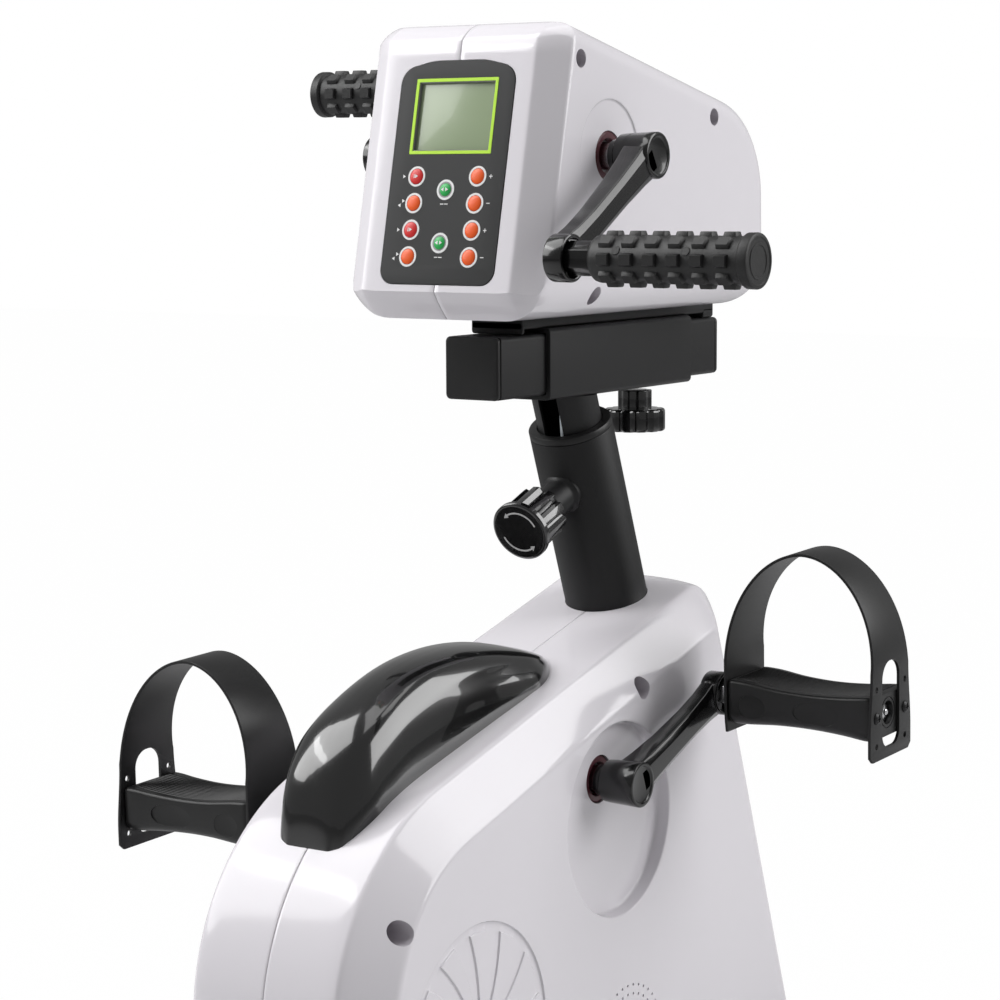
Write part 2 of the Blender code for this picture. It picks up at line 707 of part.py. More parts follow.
def foot_drive():
    """Gear motor on the tower, seals in the shells' axle holes, the control board."""
    z = FOOT_AXLE_Z
    unit = piece("foot_gear_motor", box_mesh((-GEARBOX_HALF, -GEARBOX_HALF, z - GEARBOX_HALF),
                                             (GEARBOX_HALF, GEARBOX_HALF, z + GEARBOX_HALF)),
                 CAST_GREY)
    seal_back = RECESS_FLOOR_X - 0.001 - SEAL_LENGTH
    join(unit, rod_mesh((-seal_back + GAP, 0, z), (seal_back - GAP, 0, z), BEARING_RADIUS),
         rod_mesh((0, -GEARBOX_HALF + WALL, z - MOTOR_DROP),
                  (0, -GEARBOX_HALF - MOTOR_LENGTH, z - MOTOR_DROP), MOTOR_RADIUS))
    cut(unit, rod_mesh((-CRANK_RADIUS, 0, z), (CRANK_RADIUS, 0, z), AXLE_RADIUS + GAP, 20))
    for word, side in SIDES:
        start, end = side * seal_back, side * (seal_back + SEAL_LENGTH)
        seal = piece("foot_seal_" + word,
                     rod_mesh((start, 0, z), (end, 0, z), AXLE_HOLE_RADIUS - GAP, 32), MAROON)
        cut(seal, rod_mesh((0, 0, z), (side * CRANK_RADIUS, 0, z), SEAL_INNER_RADIUS, 24))
    foot = TRAY_TOP + GAP
    low, high = foot + BOARD_LIFT, foot + BOARD_LIFT + BOARD_THICKNESS
    across, along = BOARD_WIDTH / 2, BOARD_LENGTH / 2
    board = piece("control_board", box_mesh((-across, BOARD_Y - along, low),
                                            (across, BOARD_Y + along, high)), BOARD_GREEN)
    inset = 2 * PILLAR_RADIUS
    for x in (inset - across, across - inset):
        for y in (BOARD_Y - along + inset, BOARD_Y + along - inset):
            join(board, rod_mesh((x, y, foot), (x, y, low + BOARD_THICKNESS / 2),
                                 PILLAR_RADIUS, 10))
    transformer = BOARD_WIDTH * 0.2
    centre_x, top = -BOARD_WIDTH * 0.18, high + 2 * transformer * 0.8
    join(board, box_mesh((centre_x - transformer, BOARD_Y - transformer, low + 0.001),
                         (centre_x + transformer, BOARD_Y + transformer, top)),
         rod_mesh((across / 2, BOARD_Y, low + 0.001), (across / 2, BOARD_Y, top),
                  BOARD_WIDTH * 0.11, 16))


def power_inlet():
    """Mains inlet and power switch in one moulding on the left side, with its rocker."""
    half_y, half_z = INLET_WIDTH / 2, INLET_HEIGHT / 2
    seat = INLET_SEAT_X + GAP
    inlet = piece("power_inlet",
                  box_mesh((-seat - INLET_FLANGE, INLET_Y - half_y, INLET_Z - half_z),
                           (-seat, INLET_Y + half_y, INLET_Z + half_z)), SATIN_BLACK)
    edge = WALL + GAP
    join(inlet, box_mesh((-seat - INLET_FLANGE / 2, INLET_Y - half_y + edge,
                          INLET_Z - half_z + edge),
                         (-seat + INLET_DEPTH, INLET_Y + half_y - edge,
                          INLET_Z + half_z - edge)))
    cut(inlet, box_mesh((-2 * seat, INLET_Y - 0.023, INLET_Z - 0.009),
                        (-seat + 0.014, INLET_Y - 0.001, INLET_Z + 0.009)))
    pivot_y = INLET_Y + ROCKER_OFFSET
    half = ROCKER_WIDTH / 2
    pivot = Vector((-seat + 0.004, pivot_y, INLET_Z))
    cut(inlet, rod_mesh(pivot - Vector((0, half + GAP, 0)), pivot + Vector((0, half + GAP, 0)),
                        ROCKER_RADIUS + GAP, 32))
    axis = axis_empty("rocker_axis", pivot)
    reach = ROCKER_RADIUS
    face = 0.0075
    wedge = math.tan(ROCKER_SWING / 2) * 0.009
    angles = [math.radians(a) for a in range(-40, 41, 10)]
    outline = [(reach * math.cos(a), reach * math.sin(a)) for a in angles]
    outline += [(-face - wedge, 0.0079), (-face + 0.0004, 0.0), (-face - wedge, -0.0079)]
    placing = Matrix(((1, 0, 0, 0), (0, 0, -1, 0), (0, 1, 0, 0), (0, 0, 0, 1)))
    rocker = plate_mesh(outline, ROCKER_WIDTH, placing)
    rocker.transform(Matrix.Rotation(ROCKER_SWING / 2, 4, "Y"))
    piece("power_rocker", rocker, GLOSS_BLACK, axis)


def fender_cover():
    """Black crowned cover on the band above the drive, open underneath."""
    def ring(y, crown, half):
        """An arch across X from the skirt over the crown and back."""
        points = []
        skirt = crown - FENDER_SKIRT
        for i in range(17):
            turn = math.pi * i / 16
            x = half * math.copysign(abs(math.cos(turn)) ** 0.62, math.cos(turn))
            rise = math.sin(turn) ** 0.80
            points.append((x, y, skirt + (crown - skirt) * rise))
        return points

    def half_width(y):
        """Plan outline: blunt at the front, long and round at the rear."""
        front = min(1.0, max(0.0, (y - FENDER_FRONT_Y) / FENDER_NOSE))
        back = min(1.0, max(0.0, (FENDER_REAR_Y - y) / FENDER_TAIL))
        return (0.42 + 0.58 * math.sqrt(1 - (1 - front) ** 2)) * (1 - (1 - back) ** 2.4) ** 0.5

    def dome(shrink):
        """The cover's outer form, or its hollow when shrink is the wall."""
        rings = []
        for k, (y, crown) in enumerate(FENDER_CROWN[:-1]):
            half = FENDER_HALF * half_width(y) - shrink
            nudge = shrink if k == 0 else 0.0
            rings.append(ring(y + nudge, crown - shrink, half))
        tail = FENDER_REAR_Y - 0.0008 - shrink
        rings.append(ring(tail, FENDER_CROWN[-1][1] - shrink / 2, FENDER_TIP_HALF))
        return loft_mesh(rings)

    cover = piece("fender_cover", dome(0.0), GLOSS_BLACK)
    cut(cover, dome(FENDER_WALL))
    seat = inset_corners(body_corners(), (0.0, -GAP, -GAP, -GAP))
    outline = arc_outline(seat, (0, 0, TAIL_STEPS, NOSE_STEPS * 3))
    placing = Matrix(((0, 0, 1, 0), (1, 0, 0, 0), (0, 1, 0, 0), (0, 0, 0, 1)))
    cut(cover, plate_mesh(outline, 4 * FENDER_HALF, placing))


def post_and_knob():
    """Sloping post with its knob boss, the flanged bushing, the pull pin and its knob."""
    rim = Vector((0, post_y(POST_RIM_Z), POST_RIM_Z))
    shoulder = rim - UP_POST * BUSH_FLANGE
    below = Vector((0, post_y(-POST_RADIUS), -POST_RADIUS))
    post = piece("post_tube", rod_mesh(below, shoulder, POST_RADIUS, 32), BLACK_STEEL)
    station = Vector((0, post_y(KNOB_STATION_Z), KNOB_STATION_Z))
    join(post, rod_mesh(station + OUT_KNOB * 0.020, station + OUT_KNOB * KNOB_BOSS_REACH,
                        KNOB_BOSS_RADIUS, 24))
    wide = 3 * POST_RADIUS
    cut(post, rod_mesh(below - UP_POST * wide, rim + UP_POST * wide, POST_RADIUS - POST_WALL),
        rod_mesh(station + OUT_KNOB * POST_RADIUS / 2, station + OUT_KNOB * wide,
                 PIN_RADIUS + GAP, 16),
        box_mesh((-wide, POST_FOOT_Y - wide, -wide), (wide, POST_FOOT_Y + wide, TRAY_TOP + GAP)))
    bush = piece("post_bushing", rod_mesh(shoulder + UP_POST * GAP, rim, POST_RADIUS, 32),
                 SATIN_BLACK)
    join(bush, rod_mesh(shoulder - UP_POST * BUSH_DEPTH, rim - UP_POST * 0.001,
                        POST_RADIUS - POST_WALL - GAP))
    cut(bush, rod_mesh(shoulder - UP_POST * wide, rim + UP_POST * wide, MAST_RADIUS + GAP))
    notch = station + OUT_KNOB * POST_RADIUS / 2
    cut(bush, rod_mesh(notch, station + OUT_KNOB * wide, PIN_RADIUS + 2 * GAP, 16))
    pin_axis = axis_empty("pull_pin_axis", station, math.pi + POST_LEAN)
    seat = MAST_RADIUS + GAP
    piece("pull_pin", rod_mesh((0, seat, 0), (0, KNOB_FACE - 0.008, 0), PIN_RADIUS, 16),
          BRIGHT_STEEL, pin_axis)
    knob_axis = axis_empty("height_knob_axis", (0, 0, 0), 0.0, pin_axis)
    face = KNOB_FACE
    back = face - KNOB_LENGTH
    outline = fluted_outline(KNOB_RADIUS * 0.93, 0.0026, KNOB_FLUTES)
    placing = Matrix.Translation((0, (back + face - 0.004) / 2, 0)) @ Matrix.Rotation(
        math.pi / 2, 4, "X")
    knob = piece("height_knob", plate_mesh(outline, face - 0.004 - back, placing), GLOSS_BLACK,
                 knob_axis)
    join(knob, turned_mesh(((0.0, face), (KNOB_RADIUS - 0.0015, face),
                            (KNOB_RADIUS, face - 0.0015), (KNOB_RADIUS, face - 0.0045),
                            (0.0, face - 0.0045)), (0, 0, 0), (0, 1, 0), 24))
    cut(knob, rod_mesh((0, back - 0.01, 0), (0, face - 0.0075, 0), PIN_RADIUS + GAP, 16),
        rod_mesh((0, back - 0.01, 0), (0, back + 0.004, 0), KNOB_BOSS_RADIUS + 0.001, 24))


def fluted_outline(radius, depth, count):
    """A round grip outline with narrow round flutes between wide flats."""
    points = []
    steps = count * 6
    for i in range(steps):
        angle = 2 * math.pi * i / steps
        wave = math.cos(count * angle)
        bite = depth * max(0.0, wave) ** 0.7
        points.append(((radius - bite) * math.cos(angle), (radius - bite) * math.sin(angle)))
    return points


def mast_and_sleeve():
    """Inner mast tube with its cable slot and pin holes, the welded sleeve, the cable."""
    mast_axis = axis_empty("mast_axis", (0, post_y(POST_RIM_Z), POST_RIM_Z), POST_LEAN)
    to_post = Matrix.Rotation(-POST_LEAN, 4, "X") @ Matrix.Translation(
        (0, -post_y(POST_RIM_Z), -POST_RIM_Z))
    mast = piece("mast_tube", rod_mesh((0, 0, -MAST_ENGAGED), (0, 0, 0.06), MAST_RADIUS),
                 BLACK_STEEL, mast_axis)
    cut(mast, rod_mesh((0, 0, -1), (0, 0, 1), MAST_RADIUS - MAST_WALL, 20))
    wide = SLEEVE_REAR_Y
    top = box_mesh((-wide, -wide, SLEEVE_BOTTOM - GAP), (wide, 2 * wide, SLEEVE_BOTTOM + wide))
    top.transform(to_post)
    cut(mast, top)
    front_top = (SLEEVE_BOTTOM - POST_RIM_Z) / math.cos(POST_LEAN)
    slot_foot = front_top - MAST_SLOT_DROP
    half = MAST_SLOT_WIDTH / 2
    slot = rounded([(-half, slot_foot, half - 0.0001), (half, slot_foot, half - 0.0001),
                    (half, 0.08, 0.0), (-half, 0.08, 0.0)])
    placing = Matrix.Translation((0, -MAST_RADIUS, 0)) @ Matrix(
        ((1, 0, 0, 0), (0, 0, -1, 0), (0, 1, 0, 0), (0, 0, 0, 1)))
    cut(mast, plate_mesh(slot, 0.020, placing))
    holes = int((MAST_TRAVEL + 0.001) / HOLE_PITCH) + 1
    station_drop = (KNOB_STATION_Z - POST_RIM_Z) / math.cos(POST_LEAN)
    for k in range(holes):
        z = station_drop - (k + 0.5) * HOLE_PITCH
        cut(mast, rod_mesh((0, -0.03, z), (0, -0.012, z), HOLE_RADIUS, 10))
    sleeve_mesh = box_mesh((-SLEEVE_SIZE / 2, SLEEVE_FRONT_Y, SLEEVE_BOTTOM),
                           (SLEEVE_SIZE / 2, SLEEVE_REAR_Y, SLEEVE_BOTTOM + SLEEVE_SIZE))
    sleeve_mesh.transform(to_post)
    sleeve = piece("slide_sleeve", sleeve_mesh, BLACK_STEEL, mast_axis)
    middle = SLEEVE_BOTTOM + SLEEVE_SIZE / 2
    room = TUBE_SIZE / 2 + GAP
    tools = [("UNION", rod_mesh((0, CLAMP_Y, SLEEVE_BOTTOM - CLAMP_BOSS),
                                (0, CLAMP_Y, SLEEVE_BOTTOM + 0.001), CLAMP_BOSS_RADIUS, 20)),
             ("DIFFERENCE", box_mesh((-room, -1, middle - room), (room, 1, middle + room))),
             ("DIFFERENCE", rod_mesh((0, CLAMP_Y, SLEEVE_BOTTOM - 0.01),
                                     (0, CLAMP_Y, middle), CLAMP_SCREW_RADIUS + GAP, 16))]
    for operation, tool in tools:
        tool.transform(to_post)
        combine(sleeve, tool, operation)
    inside = MAST_RADIUS - MAST_WALL - WIRE_RADIUS - GAP
    route = [(inside * math.sin(0.42 - 0.10 * k), -inside * math.cos(0.42 - 0.10 * k),
              front_top - 0.004 - 0.012 * k) for k in range(8)]
    piece("mast_cable", wire_mesh(route, WIRE_RADIUS), WIRE_WHITE, mast_axis)
    return mast_axis


def slide_and_clamp():
    """Square slide tube with end caps, the head's bracket, and the clamp knob."""
    head_axis = axis_empty("head_axis", (0, SLEEVE_FRONT_Y, SLEEVE_BOTTOM + SLEEVE_SIZE / 2))
    to_head = Matrix.Translation(-head_axis.location)
    middle = SLEEVE_BOTTOM + SLEEVE_SIZE / 2
    half = TUBE_SIZE / 2

    def head_piece(name, mesh, finish):
        """A piece of the head, modelled in world places and hung on the head's empty."""
        mesh.transform(to_head)
        return piece(name, mesh, finish, head_axis)

    tube = head_piece("slide_tube", box_mesh((-half, TUBE_FRONT_Y, middle - half),
                                             (half, TUBE_REAR_Y, middle + half)), BLACK_STEEL)
    inner = half - TUBE_WALL
    bore = box_mesh((-inner, -1, middle - inner), (inner, 1, middle + inner))
    bore.transform(to_head)
    cut(tube, bore)
    for word, y, way in (("front", TUBE_FRONT_Y, -1), ("rear", TUBE_REAR_Y, 1)):
        near, far = y + way * GAP, y + way * (GAP + TUBE_CAP)
        cap = head_piece("tube_cap_" + word,
                         box_mesh((-half, min(near, far), middle - half),
                                  (half, max(near, far), middle + half)), SATIN_BLACK)
        bevel = cap.modifiers.new("edge", "BEVEL")
        bevel.width = 0.0012
        bevel.segments = 2
        slack = inner - GAP
        low, high = sorted((y - way * 0.012, y + way * 0.002))
        plug = box_mesh((-slack, low, middle - slack), (slack, high, middle + slack))
        plug.transform(to_head)
        join(cap, plug)
    plate_bottom = SLEEVE_BOTTOM + SLEEVE_SIZE + GAP
    plate_top = HEAD_BOTTOM - GAP
    front, rear = TUBE_FRONT_Y + BRACKET_END, TUBE_REAR_Y - BRACKET_END
    wide = BRACKET_HALF
    bracket = head_piece("head_bracket", box_mesh((-wide, front, plate_bottom),
                                                  (wide, rear, plate_top)), BLACK_STEEL)
    foot_bottom = middle + half + GAP
    ends = ((front, SLEEVE_FRONT_Y - SLIDE_TRAVEL - 2 * GAP),
            (SLEEVE_REAR_Y + SLIDE_TRAVEL + 2 * GAP, rear))
    for start, end in ends:
        foot = box_mesh((-wide, start, foot_bottom), (wide, end, plate_bottom + 0.002))
        foot.transform(to_head)
        join(bracket, foot)
    clamp_axis = axis_empty("clamp_knob_axis", (0, CLAMP_Y, CLAMP_WHEEL_BOTTOM))
    outline = fluted_outline(CLAMP_WHEEL_RADIUS, 0.0022, CLAMP_FLUTES)
    stem_outline = fluted_outline(CLAMP_STEM_RADIUS, 0.0012, CLAMP_FLUTES // 2)
    stem_top = SLEEVE_BOTTOM - CLAMP_BOSS - GAP - CLAMP_WHEEL_BOTTOM
    lift = CLAMP_WHEEL_HEIGHT / 2
    knob = piece("clamp_knob", plate_mesh(outline, CLAMP_WHEEL_HEIGHT,
                                          Matrix.Translation((0, 0, lift))),
                 GLOSS_BLACK, clamp_axis)
    stem_length = stem_top - CLAMP_WHEEL_HEIGHT + 0.002
    join(knob, plate_mesh(stem_outline, stem_length,
                          Matrix.Translation((0, 0, stem_top - stem_length / 2))),
         rod_mesh((0, 0, lift), (0, 0, middle - half - GAP - CLAMP_WHEEL_BOTTOM),
                  CLAMP_SCREW_RADIUS, 16))
    return head_axis, head_piece, to_head


def head_corners():
    """Side view of the head: bottom front, bottom rear, knee, top rear and top front."""
    slope = HEAD_FRONT_SLOPE
    rise = (HEAD_TOP_HEIGHT + HEAD_TOP_SLOPE * (HEAD_FRONT_FOOT_Y - slope * HEAD_BOTTOM)) / (
        1 - HEAD_TOP_SLOPE * slope)
    front_top_y = HEAD_FRONT_FOOT_Y + slope * (rise - HEAD_BOTTOM)
    return [(HEAD_FRONT_FOOT_Y, HEAD_BOTTOM, 0.018),
            (HEAD_REAR_FOOT_Y, HEAD_BOTTOM, 0.014),
            (*HEAD_REAR_KNEE, 0.060),
            (HEAD_REAR_TOP_Y, HEAD_TOP_HEIGHT + HEAD_TOP_SLOPE * HEAD_REAR_TOP_Y, 0.045),
            (front_top_y, rise, 0.016)]


def round_inset(x, start, radius):
    """Inset of a quarter-round edge that starts at x = start."""
    over = min(max(x - start, 0.0), radius)
    return radius - math.sqrt(radius ** 2 - over ** 2)


def head_solid(side, inner=0.0):
    """Half of the head's outer solid, or of its cavity when inner is the wall."""
    corners = head_corners()
    if inner:
        corners = inset_corners(corners, (inner,) * 5)
    half = HEAD_HALF - inner
    flat = HEAD_FLAT_HALF - inner * 0.35
    bottom_r, top_r, rear_r = 0.018 - inner, 0.011 - inner, 0.016 - inner
    stations = [(-3 * WALL if inner else GAP / 2, (0.0,) * 5)]
    for share in (0.0, 0.4, 0.7, 0.9, 1.0):
        x = flat + (half - flat) * share
        chamfer = (x - flat) * HEAD_CHAMFER_RISE
        bottom = round_inset(x, half - bottom_r, bottom_r)
        top = round_inset(x, half - top_r, top_r)
        rear = round_inset(x, half - rear_r, rear_r)
        stations.append((x, (bottom, rear, rear, top, chamfer)))
    return side_loft(side, corners, (3, 3, 2, 6, 4), stations)


def panel_frame():
    """Matrix from the panel's (u, v, n) plane to the world."""
    lean = math.atan(HEAD_FRONT_SLOPE)
    centre_y = HEAD_FRONT_FOOT_Y + HEAD_FRONT_SLOPE * (PANEL_Z - HEAD_BOTTOM)
    up = Vector((0, math.sin(lean), math.cos(lean)))
    out = Vector((0, -math.cos(lean), math.sin(lean)))
    across = Vector((1, 0, 0))
    frame = Matrix((across, up, out)).transposed().to_4x4()
    return Matrix.Translation((0, centre_y, PANEL_Z)) @ frame


def panel_outline(shrink=0.0):
    """The panel's outline: straight sides, round corners and an arched top."""
    half_w, half_h = PANEL_WIDTH / 2 - shrink, PANEL_HEIGHT / 2 - shrink
    corner = 0.010
    points = []
    for centre_u, start in ((-half_w + corner, 180), (half_w - corner, 270)):
        for i in range(7):
            angle = math.radians(start + 15 * i)
            points.append((centre_u + corner * math.cos(angle),
                           -half_h + corner + corner * math.sin(angle)))
    shoulder = half_h - 0.0055
    top = rounded([(half_w, -0.02, 0.0), (half_w, shoulder, 0.012), (half_w * 0.45, half_h, 0.05),
                   (-half_w * 0.45, half_h, 0.05), (-half_w, shoulder, 0.012),
                   (-half_w, -0.02, 0.0)])
    return points + top


def console(head_piece):
    """Panel, display frame, display window and ten push buttons on the head's front face."""
    place = panel_frame()
    depth = PANEL_SINK - GAP + PANEL_PROUD

    def block(width, height, low, high, v):
        """A box in the panel's frame."""
        mesh = box_mesh((-width / 2, v - height / 2, low), (width / 2, v + height / 2, high))
        mesh.transform(place)
        return mesh

    body = plate_mesh(panel_outline(GAP), depth,
                      place @ Matrix.Translation((0, 0, (PANEL_PROUD - PANEL_SINK + GAP) / 2)))
    panel = head_piece("console_panel", body, CHARCOAL)
    to_head = Matrix.Translation(-panel.parent.location)
    hole = block(LCD_WIDTH + 2 * GAP, LCD_HEIGHT + 2 * GAP, -0.01, 0.01, LCD_V)
    hole.transform(to_head)
    cut(panel, hole)
    bezel = head_piece("lcd_frame", block(LCD_WIDTH, LCD_HEIGHT, -LCD_SINK + GAP,
                                          PANEL_PROUD + 0.0003, LCD_V), LIME)
    inner = block(LCD_WIDTH - 2 * LCD_LINE, LCD_HEIGHT - 2 * LCD_LINE, -0.01, 0.01, LCD_V)
    inner.transform(to_head)
    cut(bezel, inner)
    head_piece("lcd_window", block(LCD_WIDTH - 2 * GAP, LCD_HEIGHT - 2 * GAP,
                                   -LCD_SINK - LCD_THICKNESS, -LCD_SINK, LCD_V), LCD_GREEN)
    places = []
    for row in range(4):
        v = BUTTON_TOP_V - row * BUTTON_PITCH
        places.append((f"button_left_{row + 1}", -BUTTON_U, v, RED if row % 2 == 0 else ORANGE))
        places.append((f"button_right_{row + 1}", BUTTON_U, v, ORANGE))
    for row, v in enumerate(MODE_V):
        places.append((f"button_mode_{row + 1}", 0.0, v, GREEN))
    for name, u, v, finish in places:
        well = rod_mesh((u, v, -0.01), (u, v, 0.01), BUTTON_RADIUS + GAP, BUTTON_SEGMENTS)
        well.transform(to_head @ place)
        cut(panel, well)
        back = -PANEL_SINK + BUTTON_TRAVEL + GAP
        cap = turned_mesh(((0.0, BUTTON_PROUD), (BUTTON_RADIUS - BUTTON_EDGE, BUTTON_PROUD),
                           (BUTTON_RADIUS, BUTTON_PROUD - BUTTON_EDGE), (BUTTON_RADIUS, back),
                           (0.0, back)), (u, v, 0), (0, 0, 1), BUTTON_SEGMENTS)
        cap.transform(place)
        head_piece(name, cap, finish)
    return place


def head_shells(head_piece, place):
    """Two moulded halves of the head with axle holes, ring recess and the panel's pocket."""
    pocket = plate_mesh(panel_outline(), 0.02,
                        place @ Matrix.Translation((0, 0, 0.01 - PANEL_SINK)))
    window = box_mesh((-LCD_WIDTH / 2, LCD_V - LCD_HEIGHT / 2, -0.02),
                      (LCD_WIDTH / 2, LCD_V + LCD_HEIGHT / 2, 0.01))
    window.transform(place)
    y, z = 0.0, HEAD_AXLE_Z
    for word, side in SIDES:
        shell = head_piece("head_shell_" + word, head_solid(side), WHITE_ABS)
        to_head = Matrix.Translation(-shell.parent.location)
        cavity = head_solid(side, WALL)
        for screw_y, screw_z in HEAD_SCREWS:
            boss = recess_rod(side, HEAD_SCREW_FLOOR_X - WALL, HEAD_SCREW_RADIUS + 0.002,
                               screw_y, screw_z)
            cavity = boolean_mesh(cavity, boss, "DIFFERENCE")
        tools = [cavity, pocket.copy(), window.copy(),
                 rod_mesh((side * 0.06, y, z), (side * 0.1, y, z), AXLE_HOLE_RADIUS, 32),
                 rod_mesh((side * (HEAD_HALF - HEAD_RING_DEPTH), y, z), (side * 0.1, y, z),
                          HEAD_RING_RADIUS, 40)]
        tools += [recess_rod(side, HEAD_SCREW_FLOOR_X, HEAD_SCREW_RADIUS, screw_y, screw_z)
                  for screw_y, screw_z in HEAD_SCREWS]
        for tool in tools:
            tool.transform(to_head)
            cut(shell, tool)


def hand_drive(head_piece):
    """Gear motor inside the head, on the bottom wall, and the two axle seals."""
    z = HEAD_AXLE_Z
    half = HAND_GEARBOX_HALF
    unit = head_piece("hand_gear_motor", box_mesh((-half, -half, z - half),
                                                  (half, half, z + half)), CAST_GREY)
    to_head = Matrix.Translation(-unit.parent.location)
    seal_back = HEAD_HALF - HEAD_RING_DEPTH - 0.001 - SEAL_LENGTH
    tools = [("UNION", rod_mesh((-seal_back + GAP, 0, z), (seal_back - GAP, 0, z),
                                BEARING_RADIUS)),
             ("UNION", rod_mesh((0, half - 0.002, z - 0.012),
                                (0, half + HAND_MOTOR_LENGTH, z - 0.012), HAND_MOTOR_RADIUS)),
             ("UNION", box_mesh((-0.024, -0.024, HEAD_BOTTOM + WALL + GAP),
                                (0.024, 0.024, z - half + 0.002))),
             ("DIFFERENCE", rod_mesh((-0.2, 0, z), (0.2, 0, z), AXLE_RADIUS + GAP, 20))]
    for operation, tool in tools:
        tool.transform(to_head)
        combine(unit, tool, operation)
    for word, side in SIDES:
        seal = head_piece("hand_seal_" + word,
                          rod_mesh((side * seal_back, 0, z),
                                   (side * (seal_back + SEAL_LENGTH), 0, z),
                                   AXLE_HOLE_RADIUS - GAP, 32), MAROON)
        bore = rod_mesh((side * 0.01, 0, z), (side * 0.2, 0, z), SEAL_INNER_RADIUS, 24)
        bore.transform(to_head)
        cut(seal, bore)


def crank_arm(name, side, turn, hub_x, parent):
    """One crank: hub, tapering arm and cupped end; the arm points along +Y before turn."""
    def placed(mesh):
        """Move a mesh to the crank's hub and turn it with the arm."""
        mesh.transform(Matrix.Rotation(turn, 4, "X") @ Matrix.Translation((side * hub_x, 0, 0)))
        return mesh

    hub = turned_mesh(((0.0, CRANK_WIDTH - HUB_DISH), (HUB_RIM_RADIUS, CRANK_WIDTH - HUB_DISH),
                       (HUB_RIM_RADIUS + HUB_DISH, CRANK_WIDTH),
                       (CRANK_HUB_RADIUS - 0.0006, CRANK_WIDTH),
                       (CRANK_HUB_RADIUS, CRANK_WIDTH - 0.0008), (0.0142, 0.002),
                       (0.0128, 0.0), (0.0, 0.0)), (0, 0, 0), (side, 0, 0), 20)
    sections = ((0.033, 0.80, 0.52), (0.167, 0.71, 0.49), (0.375, 0.63, 0.46),
                (0.667, 0.61, 0.44), (0.833, 0.69, 0.44), (0.950, 0.83, 0.46))
    middle = (CRANK_END_INNER + CRANK_WIDTH) / 2 - 0.0004
    rings = []
    for share, wide, thick in sections:
        along = share * CRANK_RADIUS
        wide, thick = wide * CRANK_HUB_RADIUS, thick * (CRANK_WIDTH - CRANK_END_INNER)
        bevel = thick / 2
        corners = ((thick, wide - bevel), (thick - bevel * 0.6, wide), (-thick + bevel, wide),
                   (-thick, wide - bevel), (-thick, -wide + bevel), (-thick + bevel, -wide),
                   (thick - bevel * 0.6, -wide), (thick, -wide + bevel))
        rings.append([(side * (middle + x), along, z) for x, z in corners])
    boss = turned_mesh(((0.0, CRANK_WIDTH), (CRANK_END_RADIUS - 0.0010, CRANK_WIDTH),
                        (CRANK_END_RADIUS, CRANK_WIDTH - 0.0010),
                        (CRANK_END_RADIUS, CRANK_END_INNER + 0.0014),
                        (CRANK_END_RADIUS - 0.0014, CRANK_END_INNER),
                        (0.0, CRANK_END_INNER)), (0, CRANK_RADIUS, 0), (side, 0, 0), 20)
    cup = rod_mesh((side * (CRANK_WIDTH - CUP_DEPTH), CRANK_RADIUS, 0),
                   (side * (CRANK_WIDTH + 0.01), CRANK_RADIUS, 0), CUP_RADIUS, 20)
    body = boolean_mesh(boolean_mesh(hub, loft_mesh(rings), "UNION"), boss, "UNION")
    arm = piece(name, placed(boolean_mesh(body, cup, "DIFFERENCE")), GLOSS_BLACK, parent)
    cut(arm, placed(rod_mesh((-side * 0.01, 0, 0), (side * CRANK_AXLE_DEPTH, 0, 0),
                             AXLE_RADIUS + GAP, 16)))
    return arm, placed


def hex_rod(side, start, end, y):
    """A hexagonal collar along X."""
    return rod_mesh((side * start, y, 0), (side * end, y, 0), HEX_RADIUS, 6)


def axle(name, hub_x, parent):
    """Straight steel axle between both hubs."""
    reach = hub_x + CRANK_AXLE_DEPTH - GAP
    piece(name, rod_mesh((-reach, 0, 0), (reach, 0, 0), AXLE_RADIUS, 20), BRIGHT_STEEL, parent)


def foot_cranks():
    """Axle, two arms and two pedal spindles, with the pedals on them."""
    crank_axis = axis_empty("foot_crank_axis", (0, 0, FOOT_AXLE_Z), FOOT_CRANK_ANGLE)
    axle("foot_axle", FOOT_HUB_X, crank_axis)
    for word, side in SIDES:
        turn = 0.0 if side > 0 else math.pi + LEFT_ARM_OFFSET
        crank_arm("foot_crank_" + word, side, turn, FOOT_HUB_X, crank_axis)
        end_y = CRANK_RADIUS
        cup = FOOT_HUB_X + CRANK_WIDTH - CUP_DEPTH + GAP
        spindle = hex_rod(side, cup, PEDAL_INNER_X - 0.003, end_y)
        spin = Matrix.Rotation(turn, 4, "X")
        spindle.transform(spin)
        made = piece("pedal_spindle_" + word, spindle, BRIGHT_STEEL, crank_axis)
        shaft = rod_mesh((side * (cup + 0.003), end_y, 0),
                         (side * (PEDAL_INNER_X + PEDAL_LENGTH - 0.0005), end_y, 0),
                         SPINDLE_RADIUS, 16)
        shaft.transform(spin)
        join(made, shaft)
        end = (0, end_y * math.cos(turn), end_y * math.sin(turn))
        pedal_axis = axis_empty(f"pedal_{word}_axis", end, -FOOT_CRANK_ANGLE + PEDAL_LEAN,
                                crank_axis)
        pedal(word, side, pedal_axis)


